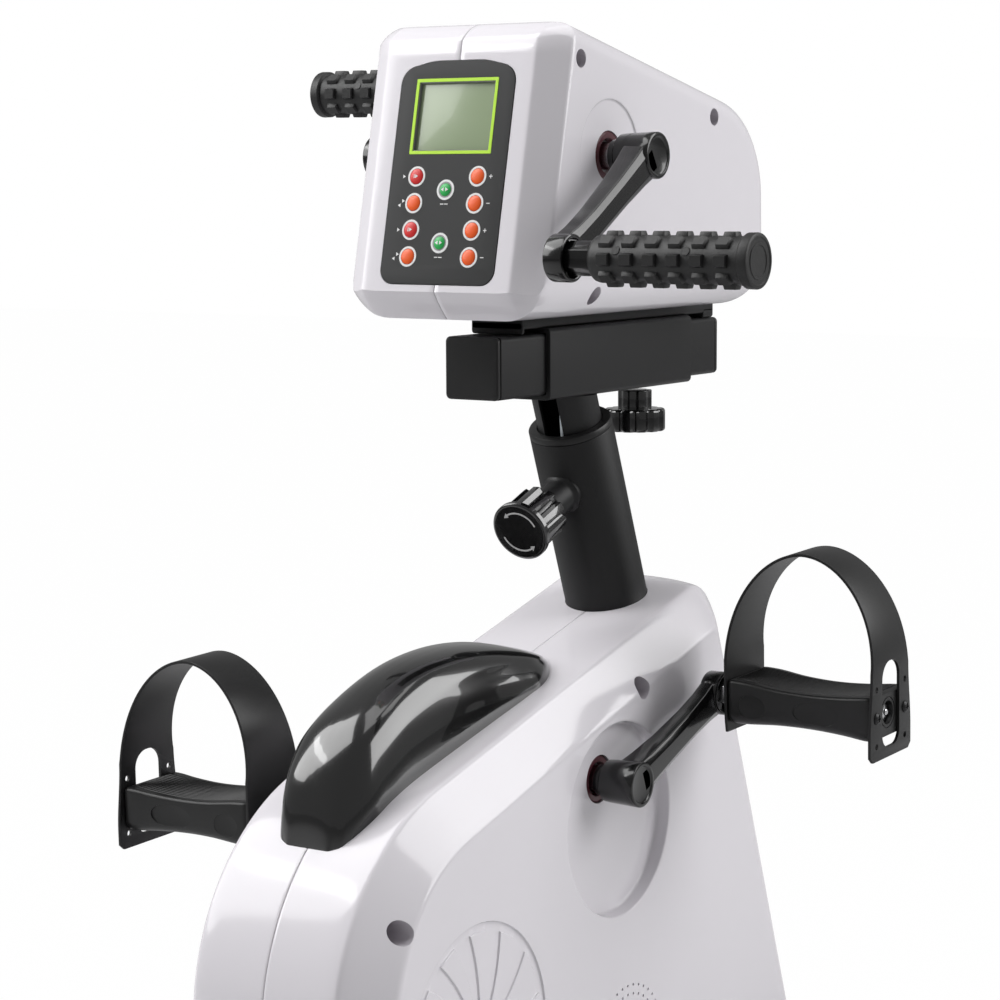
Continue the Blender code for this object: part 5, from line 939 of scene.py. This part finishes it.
theta = math.atan(1 / HEAD_RISE)
tangent = FILLET * math.tan(theta / 2)
corner_rise = (HEAD_HALF - HEAD_FLAT) * HEAD_RISE
straight_end = HEAD_HALF - tangent / math.hypot(1, HEAD_RISE)
xs = np.concatenate(((0.00015, 0.00030, 0.0006), np.linspace(0.004, 0.0535, 12),
                     np.linspace(0.0545, 0.0580, 9), np.linspace(0.0592, straight_end, 14)))
phi = theta * (1 - np.linspace(0, 1, 9)[1:])
xs_end = HEAD_HALF - FILLET + FILLET * np.cos(phi)
seam_edge = np.zeros(len(xs) + len(xs_end))
seam_edge[:2] = (0.0005, 0.0002)
rise = np.concatenate((HEAD_RISE * soft_step(xs - HEAD_FLAT, 0.0012),
                       corner_rise + tangent - FILLET * np.sin(phi)))
xs = np.concatenate((xs, xs_end))


def quarter(x, radius):
    """Inset of a quarter-round edge of the head at a distance from the middle plane."""
    over = np.clip(x - (HEAD_HALF - radius), 0, radius)
    return radius - np.sqrt(radius ** 2 - over ** 2)


insets = np.stack([edge + seam_edge for edge in (
    quarter(xs, HEAD_UNDER), quarter(xs, HEAD_REAR), quarter(xs, HEAD_REAR), quarter(xs, HEAD_OVER),
    rise)], -1)
loops = head_outline(insets)
outer_grid = np.concatenate((np.broadcast_to(xs[:, None, None], loops.shape[:2] + (1,)), loops), -1)

# The side faces run from the outer edge to the ring round the axle, and in to the axle hole.
axle, edge = np.array((0.0, HEAD_AXLE)), loops[-1]
turn = np.arctan2(edge[:, 1] - axle[1], edge[:, 0] - axle[0])
ray = np.stack((np.cos(turn), np.sin(turn)), -1)
outside_ring = axle + ray * (RING_RADIUS + RING_EDGE)
grid = [at_distance(HEAD_HALF, edge + (outside_ring - edge) * q) for q in np.linspace(0, 1, 22)[1:]]
for q in np.linspace(0, math.pi / 2, 6)[1:]:
    flat = axle + ray * (RING_RADIUS + RING_EDGE - RING_EDGE * math.sin(q))
    grid.append(at_distance(HEAD_HALF - 0.0008 * (1 - math.cos(q)), flat))
for q in np.linspace(0, math.pi / 2, 5):
    flat = axle + ray * (RING_RADIUS - 0.0004 - RING_EDGE * (1 - math.cos(q)))
    grid.append(at_distance(HEAD_HALF - RING_DEPTH + 0.0003 * (1 - math.sin(q)), flat))
grid += [at_distance(HEAD_HALF - RING_DEPTH, axle + ray * radius)
         for radius in np.linspace(RING_RADIUS - 0.0016, HOLE_RADIUS, 7)]
head_grid = np.concatenate((outer_grid, np.array(grid)))

# The front has a shallow pocket for the panel and a hole through it for the display.
PANEL_MIDDLE, PANEL_WIDTH, PANEL_TALL = (0.0005, 0.6887), 0.0880, 0.1450
LCD_UP, LCD_WIDE, LCD_TALL, LCD_LINE = 0.0362, 0.0625, 0.0489, 0.0021
lean = math.atan(FRONT_SLOPE)
panel_place = np.array((PANEL_MIDDLE[0], FRONT_FOOT + FRONT_SLOPE * (PANEL_MIDDLE[1] - HEAD_BOTTOM),
                        PANEL_MIDDLE[1]))
panel_up = np.array((0, math.sin(lean), math.cos(lean)))
panel_out = np.array((0, -math.cos(lean), math.sin(lean)))
panel_plane = (panel_place, (1, 0, 0), panel_up, panel_out)


def panel_outline(shrink=0.0):
    """The panel: straight sides, round lower corners and an arched top."""
    w, h = PANEL_WIDTH / 2 - shrink, PANEL_TALL / 2 - shrink
    return rounded([(-w, -h, 0.010), (w, -h, 0.010), (w, h - 0.0055, 0.012), (w * 0.45, h, 0.05),
                    (-w * 0.45, h, 0.05), (-w, h - 0.0055, 0.012)], 8)


def oblong(shrink, radius):
    """The display's rounded oblong in the panel's plane, drawn in by a margin."""
    a, b = LCD_WIDE / 2 - shrink, LCD_TALL / 2 - shrink
    return rounded([(-a, LCD_UP - b, radius), (a, LCD_UP - b, radius), (a, LCD_UP + b, radius),
                    (-a, LCD_UP + b, radius)], 5)


for word, side in SIDES:
    points = (head_grid * np.array((side, 1, 1))).reshape(-1, 3)
    faces = grid_faces(*head_grid.shape[:2])
    if side < 0:
        faces = faces[:, ::-1]
    mesh = raw_mesh("head_shell", points, [faces])
    shell = add_piece("shell_head_" + word, mesh, white_abs, "head",
                      ["head_shell_" + word])
    walled(shell)
    cut_by(shell, bar("pocket", panel_outline(), panel_plane, -0.0016, 0.010, 0.0001),
           *[round_cut(HEAD_POCKET + 0.0001, 0.04, 0, (side * 0.060, y, z), (side, 0, 0))
             for y, z in HEAD_SCREWS])
    cut_by(shell, bar("window", oblong(0, 0.0006), panel_plane, -0.006, 0.010, 0.0001))

# Screws of the head. They sit in the same lined pockets as the housing's, less deep, and pull
# the two mouldings together.
HEAD_POCKET_FLOOR = 0.052


def quarter_drop(inset, radius):
    """How far a quarter-round edge has fallen back at an inset from the face beside it."""
    over = np.clip(radius - inset, 0, radius)
    return radius - np.sqrt(radius ** 2 - over ** 2)


def head_skin(y, z):
    """Distance of the head's side from the middle plane near its lower and upper edges."""
    top = HEAD_TOP + HEAD_TOP_SLOPE * y
    return HEAD_HALF - np.maximum(quarter_drop(z - HEAD_BOTTOM, HEAD_UNDER),
                                  quarter_drop(top - z, HEAD_OVER))


screw_pockets("head", HEAD_SCREWS, HEAD_POCKET, HEAD_POCKET_FLOOR, head_skin, "head")

# Console panel. A charcoal overlay sits in the shallow pocket of the front: a display in a lime
# frame above, and ten domed push buttons in printed white rings below.
BUTTON_U, BUTTON_PITCH, BUTTON_TOP, MODE_ROWS = 0.0234, 0.01725, -0.0027, (-0.0113, -0.0455)
BUTTON_RADIUS, MODE_SMALLER, KEY_HOLE = 0.00505, 0.00085, 0.0051
PRINT_LOW, PRINT_HIGH, KEY_PRINT_LOW = 0.0003, 0.0005, 0.0010
charcoal = finish("charcoal_panel", (0.036, 0.0365, 0.037), 0.50, cells=2200.0, grain=0.06,
                  specular=0.22)
lime = finish("lime_print", (0.47, 0.80, 0.014), 0.40)
print_white = finish("white_print", (0.80, 0.80, 0.80), 0.45)
panel = add_piece("panel", bar("panel", panel_outline(FIT_GAP), panel_plane, -0.0014, 0.0004,
                               0.0003), charcoal, "head", ["console_panel"])
cut_by(panel, bar("window", oblong(-FIT_GAP / 2, 0.0006), panel_plane, -0.02, 0.01, 0.0001))


def panel_point(u, v, height=0.0):
    """Points at places across and up the panel, at a height over its plane."""
    return panel_place + np.multiply.outer(u, (1.0, 0, 0)) + np.multiply.outer(v, panel_up) + (
        height * panel_out)


def display_border(outer, inner, low, high):
    """A closed frame between two outlines round the display, from a low to a high height."""
    rings = [panel_point(*outline.T, height) for outline, height in (
        (outer, low), (outer, high), (inner, high), (inner, low), (outer, low))]
    return loft("border", rings, capped=False)


lime_frame = display_border(oblong(0, 0.0006), oblong(LCD_LINE, 0.0005), -0.0013, 0.0006)
add_piece("display_frame", lime_frame, lime, "head", ["lcd_frame"], sharp=30.0)
bezel_grey = finish("display_bezel", (0.20, 0.20, 0.20), 0.45)
bezel = display_border(oblong(LCD_LINE, 0.0005), oblong(LCD_LINE + 0.0006, 0.0003), -0.0036, 0.0001)
add_piece("display_bezel", bezel, bezel_grey, "head", sharp=30.0)
glass = finish("display_glass", (0.300, 0.372, 0.232), 0.16, coat=0.3, clouds=30.0, tint=0.03)
add_piece("display", bar("display", oblong(0.0026, 0.0003), panel_plane, -0.0044, -0.0022, 0.0002),
          glass, "head", ["lcd_window"])
red = finish("button_red", (0.66, 0.022, 0.020), 0.38)
orange = finish("button_orange", (0.88, 0.11, 0.010), 0.38)
green = finish("button_green", (0.020, 0.42, 0.085), 0.38)
buttons = []
for row in range(4):
    v = BUTTON_TOP - row * BUTTON_PITCH
    buttons.append((f"button_left_{row + 1}", f"key_left_{row + 1}", -BUTTON_U, v,
                    (red, "red_button") if row % 2 == 0 else (orange, "orange_button")))
    buttons.append((f"button_right_{row + 1}", f"key_right_{row + 1}", BUTTON_U, v,
                    (orange, "orange_button")))
for row, v in enumerate(MODE_ROWS):
    buttons.append((f"button_mode_{row + 1}", f"key_mode_{row + 1}", 0.0, v,
                    (green, "green_button")))
cut_by(panel, *[round_cut(KEY_HOLE, 0.002, -0.003, panel_point(u, v), panel_out)
                for _, _, u, v, _ in buttons])

# The marks beside and on the keys are plain symbols, in millimetres round their own middle.
ARROW = ((-0.7, -1.25), (1.3, 0.0), (-0.7, 1.25))
BACK = tuple((-x, -y) for x, y in ARROW)
STROKE = ((-1.9, -1.2), (-1.3, -1.2), (-1.3, 1.2), (-1.9, 1.2))
MINUS = ((-1.3, -0.28), (1.3, -0.28), (1.3, 0.28), (-1.3, 0.28))
PLUS = plus_outline(1.3, 0.28)
mark_grey = finish("print_grey", (0.30, 0.30, 0.31), 0.45)


def mark(corners, u, v, high=PRINT_HIGH, low=PRINT_LOW):
    """A printed mark: a flat outline in the panel's plane round a place of it."""
    flat = np.array(corners, float) * 0.001 + (u, v)
    return bar("mark", flat, panel_plane, low, high, 0.00002, 1)


def print_ring(inner, outer, slope, height, centre):
    """A printed ring round a key, whose outer rim slopes down."""
    return lathe("ring", [(inner, PRINT_LOW), (inner, height), (outer - slope, height),
                          (outer, PRINT_LOW)], centre, panel_out, 40)


white_rings, grey_rings, panel_marks = [], [], []
for node, key, u, v, (paint, slot_name) in buttons:
    centre = panel_point(u, v)
    small = MODE_SMALLER if paint is green else 0.0
    dome = [(0, 0.0016)] + [(radius - small, height) for radius, height in (
        (0.0025, 0.0015), (0.0040, 0.0012), (0.0048, 0.0008), (BUTTON_RADIUS, 0.0003),
        (BUTTON_RADIUS, -0.0004))] + [(0, -0.0004)]
    add_piece("cap_" + node, lathe("button", dome, centre, panel_out, 40), paint, key,
              [node])
    white_rings.append(print_ring(0.0052, 0.0067, 0.0002, 0.00055, centre))
    key_marks = []
    if paint is red:
        key_marks = [mark(ARROW, u + 0.0004, v, 0.00172, KEY_PRINT_LOW),
                     mark(STROKE, u + 0.0004, v, 0.00165, KEY_PRINT_LOW)]
        panel_marks.append(mark(ARROW, u - 0.0098, v))
    elif paint is green:
        key_marks = [mark(ARROW, u + 0.0014, v, 0.00168, KEY_PRINT_LOW),
                     mark(BACK, u - 0.0014, v, 0.00168, KEY_PRINT_LOW)]
        grey_rings.append(print_ring(0.00425, 0.0052, 0.0, PRINT_HIGH, centre))
        panel_marks += [mark(MINUS, u + k * 0.0016, v - 0.0092) for k in (-1, 1)]
    elif u < 0:
        panel_marks += [mark(ARROW, u - 0.0084, v + 0.0014), mark(BACK, u - 0.0108, v - 0.0014)]
    else:
        panel_marks.append(mark(PLUS if node[-1] in "13" else MINUS, u + 0.0100, v))
    if key_marks:
        add_piece("mark_" + node, joined("mark", key_marks), print_white, key)
add_piece("button_rings", joined("rings", white_rings), print_white, "head")
add_piece("mode_rings", joined("rings", grey_rings), mark_grey, "head")
add_piece("panel_marks", joined("marks", panel_marks), print_white, "head")

# Axle seals. Dark red moulded rubber rings fill the axle holes of both housings and keep dust
# and grease off the bearings behind them.
SEAL_BORE, SEAL_RADIUS, SEAL_WIDTH = 0.0112, 0.0159, 0.0055
maroon = finish("maroon_seal", (0.075, 0.008, 0.016), 0.34, cells=500.0)
for word, side in SIDES:
    for part, height, body in (("foot", AXLE_HEIGHT, "base"), ("hand", HEAD_AXLE, "head")):
        node = f"{part}_seal_{word}"
        low, high = box_of(node)
        inner_x = min(abs(low[0]), abs(high[0]))
        seal = lathe("seal", [(SEAL_BORE, 0.0), (SEAL_BORE, 0.0050), (SEAL_BORE + 0.0006, SEAL_WIDTH),
                              (SEAL_RADIUS - 0.0012, SEAL_WIDTH), (SEAL_RADIUS, 0.0046),
                              (SEAL_RADIUS, 0.0)], (side * inner_x, 0, height), (side, 0, 0), 64)
        add_piece(f"seal_{part}_{word}", seal, maroon, body, [node])

# Cranks. Four alike, moulded in glossy black: a round hub with a dished cap, an arm with a
# raised rib down its outer face, and a shallow cup at the end that holds a hexagonal collar.
CRANK_LENGTH, CRANK_WIDTH, END_INNER = 0.120, 0.027, 0.0135
HUB_NECK, HUB_NECK_DROP, RIM_DROP = 0.0105, 0.0050, 0.0010
FOOT_HUB, HAND_HUB = 0.0733, 0.0840
FOOT_TURN, HAND_TURN, LEFT_OFFSET = math.radians(20.7), math.radians(211.1), math.radians(-8.0)
ARM_STATIONS = np.array((0.004, 0.020, 0.045, 0.080, 0.100, 0.116))
ARM_HALVES = np.array((0.0124, 0.0108, 0.0095, 0.0092, 0.0104, 0.0128))
ARM_THICKS = np.array((0.0095, 0.0088, 0.0078, 0.0070, 0.0066, 0.0064))
HEX_RADIUS, HEX_REACH = 0.0108, 0.0165
crank_black = finish("crank_black", (0.0045, 0.0045, 0.0047), 0.20, coat=0.35, cells=700.0,
                     grain=0.006, tint=0.10, specular=0.36)


def crank_frame(side, hub_x, height, angle):
    """Axes of a crank: outwards along X, along the arm, and across it, from its hub. The left
    crank stands opposite to the right one's angle, apart from a small offset."""
    angle += 0.0 if side > 0 else math.pi + LEFT_OFFSET
    along = np.array((0.0, math.cos(angle), math.sin(angle)))
    across = np.array((0.0, -math.sin(angle), math.cos(angle)))
    return np.array((side * hub_x, 0.0, height)), np.array((side, 0.0, 0.0)), along, across


def crank_mesh(origin, out, along, across):
    """Hub with a short neck inwards, arm and cupped end. The arm's octagonal section changes
    along it."""
    width = CRANK_WIDTH
    hub = lathe("hub", [(0, width - RIM_DROP), (0.0112, width - RIM_DROP), (0.0119, width - 0.0008),
                        (0.0125, width - 0.0001), (0.0130, width), (0.0142, width),
                        (0.0147, width - 0.0003), (0.0150, width - RIM_DROP), (0.0148, 0.0200),
                        (0.0143, 0.0060), (0.0139, 0.0012), (0.0128, 0.0), (HUB_NECK, 0.0),
                        (HUB_NECK, -HUB_NECK_DROP), (0, -HUB_NECK_DROP)], origin, out, 72)
    reach = ARM_STATIONS[0] + (ARM_STATIONS[-1] - ARM_STATIONS[0]) * np.linspace(0, 1, 46)
    rings = []
    for d, w, t in zip(reach, np.interp(reach, ARM_STATIONS, ARM_HALVES),
                       np.interp(reach, ARM_STATIONS, ARM_THICKS)):
        section = rounded([(t, w * 0.55, 0.0008), (t - 0.0022, w, 0.0016), (-t, w, 0.0022),
                           (-t, -w, 0.0022), (t - 0.0022, -w, 0.0016), (t, -w * 0.55, 0.0008)], 4)
        rings.append(origin + out * (width - RIM_DROP - t + section[:, :1]) + along * d
                     + across * section[:, 1:])
    cup = lathe("cup", [(0, width - 0.0060), (0.0108, width - 0.0060), (0.0118, width - 0.0052),
                        (0.0121, width - RIM_DROP), (0.0126, width - 0.0002), (0.0131, width),
                        (0.0141, width), (0.0146, width - 0.0003), (0.0148, width - RIM_DROP),
                        (0.0148, END_INNER + 0.0014), (0.0144, END_INNER + 0.0004),
                        (0.0134, END_INNER), (0, END_INNER)], origin + along * CRANK_LENGTH, out, 72)
    return [hub, loft("arm", rings), cup]


def hexagon(origin, out, along, across, low, high):
    """A hexagonal steel or plastic collar along X at the end of a crank."""
    turn = np.linspace(0, 2 * math.pi, 6, endpoint=False)
    flat = np.stack((HEX_RADIUS * np.cos(turn), HEX_RADIUS * np.sin(turn), 0 * turn + 0.0006), -1)
    return bar("collar", rounded(flat, 3), (origin + along * CRANK_LENGTH, along, across, out), low,
               high, 0.0008)


steel = finish("bright_steel", (0.55, 0.55, 0.56), 0.22, metallic=1.0, cells=300.0, tint=0.10)
PEDAL_INNER, PEDAL_LENGTH = 0.116, 0.106
for word, side in SIDES:
    axes = crank_frame(side, FOOT_HUB, AXLE_HEIGHT, FOOT_TURN)
    add_piece("crank_foot_" + word, joined("crank", crank_mesh(*axes)), crank_black,
              "foot_crank", ["foot_crank_" + word])
    collar = hexagon(*axes, CRANK_WIDTH - 0.0057, PEDAL_INNER - 0.0030 - FOOT_HUB)
    tip = PEDAL_INNER + PEDAL_LENGTH - 0.0006 - FOOT_HUB
    shaft = [(0, tip)] + [(radius, tip - drop) for radius, drop in (
        (0.0016, 0), (0.0022, 0.0005), (0.0024, 0.0014), (0.0036, 0.0018), (0.0055, 0.0022),
        (0.0064, 0.0028), (0.0064, 0.0062), (0.0056, 0.0066))] + [(0.0056, 0.030), (0, 0.030)]
    origin, out, along, _ = axes
    shaft = lathe("shaft", shaft, origin + along * CRANK_LENGTH, out, 32)
    add_piece("spindle_" + word, joined("spindle", [collar, shaft]), steel,
              "foot_crank", ["pedal_spindle_" + word])
    axes = crank_frame(side, HAND_HUB, HEAD_AXLE, HAND_TURN)
    collar = hexagon(*axes, CRANK_WIDTH - 0.0065, CRANK_WIDTH + HEX_REACH)
    add_piece("crank_hand_" + word, joined("crank", crank_mesh(*axes) + [collar]), crank_black,
              "hand_crank", ["hand_crank_" + word])

# Pedals. A waisted black nylon block turns on the steel spindle. A stiff moulded strap of the
# same nylon is held by the spindle at the inner end, arches over the foot and ends in a wide
# slotted plate that two screws hold on the outer end.
PEDAL_LEAN = math.radians(1.5)
SHARES = np.array((0.0, 0.113, 0.330, 0.566, 0.802, 0.943, 1.0))
TOPS = np.array((0.0165, 0.0158, 0.0128, 0.0116, 0.0126, 0.0140, 0.0142))
FEET = -np.array((0.0150, 0.0146, 0.0132, 0.0134, 0.0150, 0.0166, 0.0168))
HALVES = np.array((0.0266, 0.0268, 0.0262, 0.0256, 0.0262, 0.0268, 0.0266))
BORE_RADIUS, EYE_RADIUS, RIB_RADIUS, RIB_REACH = 0.0080, 0.0118, 0.0006, 0.0195
DIMPLES = ((0.17, 0.0100, 0.0082), (0.62, 0.0170, 0.0082))
STRAP_THICK, STRAP_TOP, LEG_TOP = 0.0020, 0.104, 0.030
LEG_FOOT, PLATE_FOOT, LEG_WIDE, ARCH_WIDE, PLATE_WIDER = -0.020, -0.029, 0.055, 0.040, 0.007
HOLE_Y, HOLE_Z, PLATE_HOLE, SCREW_LIFT = 0.0215, 0.0190, 0.0021, 0.0023
WINDOW = ((-0.0130, -0.0220, 0.009), (0.0130, -0.0220, 0.009), (0.0130, 0.0355, 0.012),
          (-0.0130, 0.0355, 0.012))


def pedal_axes(side):
    """Middle of a pedal's axis and its axes: out, away from the user and up, leaning a little."""
    _, out, along, _ = crank_frame(side, FOOT_HUB, AXLE_HEIGHT, FOOT_TURN)
    origin = np.array((0.0, 0.0, AXLE_HEIGHT)) + along * CRANK_LENGTH
    ahead = np.array((0.0, math.cos(PEDAL_LEAN), math.sin(PEDAL_LEAN)))
    upward = np.array((0.0, -math.sin(PEDAL_LEAN), math.cos(PEDAL_LEAN)))
    return origin, out, ahead, upward


def strap_route():
    """Strap as (x, z, width): up the inner face, over the arch and down the outer plate."""
    inner = PEDAL_INNER - FIT_GAP - STRAP_THICK / 2
    outer = PEDAL_INNER + PEDAL_LENGTH + FIT_GAP + STRAP_THICK / 2
    turn = math.pi * (1 - np.linspace(0, 1, 81))
    lift = np.sin(turn) ** 0.98
    x = (inner + outer) / 2 + (outer - inner) / 2 * np.sign(np.cos(turn)) * np.abs(
        np.cos(turn)) ** 1.06
    arch = np.stack((x, LEG_TOP + (STRAP_TOP - LEG_TOP) * lift,
                     LEG_WIDE + (ARCH_WIDE - LEG_WIDE) * lift ** 0.8), -1)
    rise = np.linspace(0, 1, 9)
    inner_leg = np.stack((np.full(9, inner), LEG_FOOT + (LEG_TOP - LEG_FOOT) * rise,
                          LEG_WIDE - 0.004 * (1 - rise) ** 6), -1)[:-1]
    down = np.linspace(LEG_TOP, PLATE_FOOT, 18)[1:]
    blend = np.clip((LEG_TOP - down) / 0.045, 0, 1)
    wide = LEG_WIDE + PLATE_WIDER * blend ** 2 * (3 - 2 * blend)
    tip = np.clip((PLATE_FOOT + 0.004 - down) / 0.004, 0, 1)
    outer_leg = np.stack((np.full(17, outer), down, wide - 0.008 * tip ** 2), -1)
    return np.concatenate((inner_leg, arch, outer_leg))


def strap_band(origin, out, ahead, upward):
    """A band whose section, a flat bar with round edges, follows the strap's route."""
    route = strap_route()
    way = np.gradient(route[:, :2], axis=0)
    way /= np.linalg.norm(way, axis=1, keepdims=True)
    normal = np.stack((-way[:, 1], way[:, 0]), -1)
    edge = 0.0005
    corner = np.array(((1, 0), (0.92, 0.35), (0.55, 0.85), (0, 1)))
    shape = []
    for a, b in ((1, 1), (-1, 1), (-1, -1), (1, -1)):
        quarter_turn = corner if a * b > 0 else corner[::-1]
        shape += [(a * STRAP_THICK / 2 - a * edge * (1 - c), b, -b * edge * (1 - s))
                  for c, s in quarter_turn]
    shape = np.array(shape)
    flat = route[:, None, :2] + normal[:, None] * shape[None, :, :1]
    y = route[:, 2:3] / 2 * shape[None, :, 1] + shape[None, :, 2]
    rings = (origin + flat[..., :1] * out + flat[..., 1:] * upward
             + y.reshape(len(route), -1, 1) * ahead)
    return loft("strap", rings)


share = np.linspace(0, 1, 60)
end_round = 0.0012 * (np.exp(-share / 0.008) + np.exp(-(1 - share) / 0.008))
tops, feet, halves = (smooth_curve(share, SHARES, v) for v in (TOPS, FEET, HALVES))
tops, feet, halves = tops - end_round, feet + end_round, halves - end_round
oval = np.linspace(0, 2 * math.pi, 40, endpoint=False)
oval = np.stack((np.cos(oval), np.sin(oval)), -1)
plate_x = PEDAL_INNER + PEDAL_LENGTH
for word, side in SIDES:
    axes = origin, out, ahead, upward = pedal_axes(side)
    body_name = word + "_pedal"
    rings = []
    for s, t, f, h in zip(share, tops, feet, halves):
        section = rounded([(h, t, 0.0026), (-h, t, 0.0026), (-h, f, 0.0085), (h, f, 0.0085)], 7)
        rings.append(origin + out * (PEDAL_INNER + s * PEDAL_LENGTH) + ahead * section[:, :1]
                     + upward * section[:, 1:])
    pedal = add_piece("pedal_block_" + word, loft("pedal", rings), nylon,
                      body_name, ["pedal_" + word])
    ribs = []
    for y in np.linspace(-RIB_REACH, RIB_REACH, 14):
        line = (origin + np.outer(PEDAL_INNER + PEDAL_LENGTH * share[2:-2], out)
                + np.outer(tops[2:-2] - 0.0001, upward) + y * ahead)
        ribs.append(tube_along("rib", line, RIB_RADIUS, 8))
    add_piece("pedal_ribs_" + word, joined("ribs", ribs), nylon, body_name)
    tools = [round_cut(BORE_RADIUS, 0.004, -0.0075, origin + out * plate_x, out, 48),
             lathe("groove", [(0.0098, 0.004), (0.0106, 0.004), (0.0106, -0.0007),
                              (0.0098, -0.0007)], origin + out * plate_x, out, 64)]
    for s, wide, tall in DIMPLES:
        face = origin + out * (PEDAL_INNER + s * PEDAL_LENGTH) - ahead * (
            np.interp(s, share, halves) - 0.0005) - upward * 0.0010
        tools.append(bar("dimple", oval * (wide, tall), (face, out, upward, -ahead), 0, 0.006,
                         0.0002))
    cut_by(pedal, *tools)
    strap = add_piece("strap_" + word, strap_band(*axes), nylon, body_name,
                      ["pedal_strap_" + word])
    tools = [bar("window", rounded(WINDOW, 10), (origin, ahead, upward, out), plate_x - 0.012,
                 plate_x + 0.012, 0.0002)]
    tools += [round_cut(PLATE_HOLE, 0.01, -0.01, origin + ahead * y + upward * z + out * plate_x,
                        out, 24) for z in (HOLE_Z, -HOLE_Z) for y in (-HOLE_Y, HOLE_Y)]
    tools.append(round_cut(EYE_RADIUS, 0.004, -0.006, origin + out * PEDAL_INNER, out))
    cut_by(strap, *tools)
    screw_heads("strap_screws_" + word, [(origin + ahead * y + out * (plate_x + SCREW_LIFT), out)
                                         for y in (-HOLE_Y, HOLE_Y)], body_name, 0.0040)

# Grips. Black rubber sleeves over the hand spindles, with eight rows of six tapered square
# pads, two round spots between them and a flat end that bears a low ring.
GRIP_LENGTH, GRIP_RADIUS, PAD_RADIUS = 0.110, 0.0145, 0.0169
PAD_ROWS, PADS_IN_ROW, PAD_START, PAD_PITCH = 8, 6, 0.01285, 0.0159
SPOT_START, SPOT_PITCH, SPOT_RADIUS, SPOT_TURN = 0.0208, 0.0477, 0.0030, math.radians(67.5)
for word, side in SIDES:
    _, out, along, _ = crank_frame(side, HAND_HUB, HEAD_AXLE, HAND_TURN)
    start = HAND_HUB + CRANK_WIDTH + HEX_REACH + FIT_GAP
    origin = np.array((0.0, 0.0, HEAD_AXLE)) + along * CRANK_LENGTH + out * start
    sleeve = [(0, GRIP_LENGTH - 0.0005)] + [(radius, GRIP_LENGTH - drop) for radius, drop in (
        (0.0092, 0.0005), (0.0096, 0), (0.0108, 0), (0.0112, 0.0005), (0.0138, 0.0005), (0.0143, 0),
        (0.0157, 0), (0.0164, 0.0004), (0.0166, 0.0012), (0.0165, 0.0062), (0.0158, 0.0071),
        (GRIP_RADIUS, 0.0076))] + [(GRIP_RADIUS, 0.0040), (0.0139, 0.0018), (0.0128, 0.0005),
                                   (0.0118, 0.0), (0, 0)]
    meshes = [lathe("grip", sleeve, origin, out, 72)]
    meshes += [lathe("spot", [(0, GRIP_RADIUS + 0.0004), (SPOT_RADIUS - 0.0003, GRIP_RADIUS + 0.0004),
                              (SPOT_RADIUS, GRIP_RADIUS + 0.0001), (SPOT_RADIUS, 0.012), (0, 0.012)],
                     origin + out * (SPOT_START + SPOT_PITCH * k),
                     (0, -math.sin(SPOT_TURN), math.cos(SPOT_TURN)), 24) for k in range(2)]
    for angle in 2 * math.pi * np.arange(PAD_ROWS) / PAD_ROWS:
        outward = np.array((0.0, -math.sin(angle), math.cos(angle)))
        beside = np.array((0.0, math.cos(angle), math.sin(angle)))
        for column in range(PADS_IN_ROW):
            centre = origin + out * (PAD_START + column * PAD_PITCH)
            rings = []
            for a, b, height in ((0.0046, 0.0042, GRIP_RADIUS - 0.0012),
                                 (0.0043, 0.0039, GRIP_RADIUS + 0.0002),
                                 (0.0040, 0.0034, PAD_RADIUS - 0.0005), (0.0037, 0.0031, PAD_RADIUS)):
                square = rounded([(-a, -b, 0.0006), (a, -b, 0.0006), (a, b, 0.0006),
                                  (-a, b, 0.0006)], 2)
                rings.append(centre + out * square[:, :1] + beside * square[:, 1:]
                             + outward * height)
            meshes.append(loft("pad", rings))
    add_piece("grip_" + word, joined("grip", meshes), rubber, word + "_grip",
              ["hand_grip_" + word])

# Parts inside and underneath keep their worked-out shape and get their real finishes: cast
# gear motors, steel axles and pin, the frame's black paint, the circuit board and the inlet.
cast = finish("cast_aluminium", (0.42, 0.42, 0.43), 0.42, metallic=0.9, cells=500.0, grain=0.10)
board_green = finish("circuit_board", (0.02, 0.19, 0.07), 0.40, cells=200.0)
for node, paint in (("base_frame", black_steel), ("foot_gear_motor", cast),
                    ("hand_gear_motor", cast), ("control_board", board_green),
                    ("power_inlet", nylon), ("power_rocker", black_gloss), ("pull_pin", steel),
                    ("foot_axle", steel), ("hand_axle", steel)):
    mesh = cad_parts[node].data
    mesh.materials.clear()
    mesh.materials.append(paint)

bpy.context.view_layer.update()
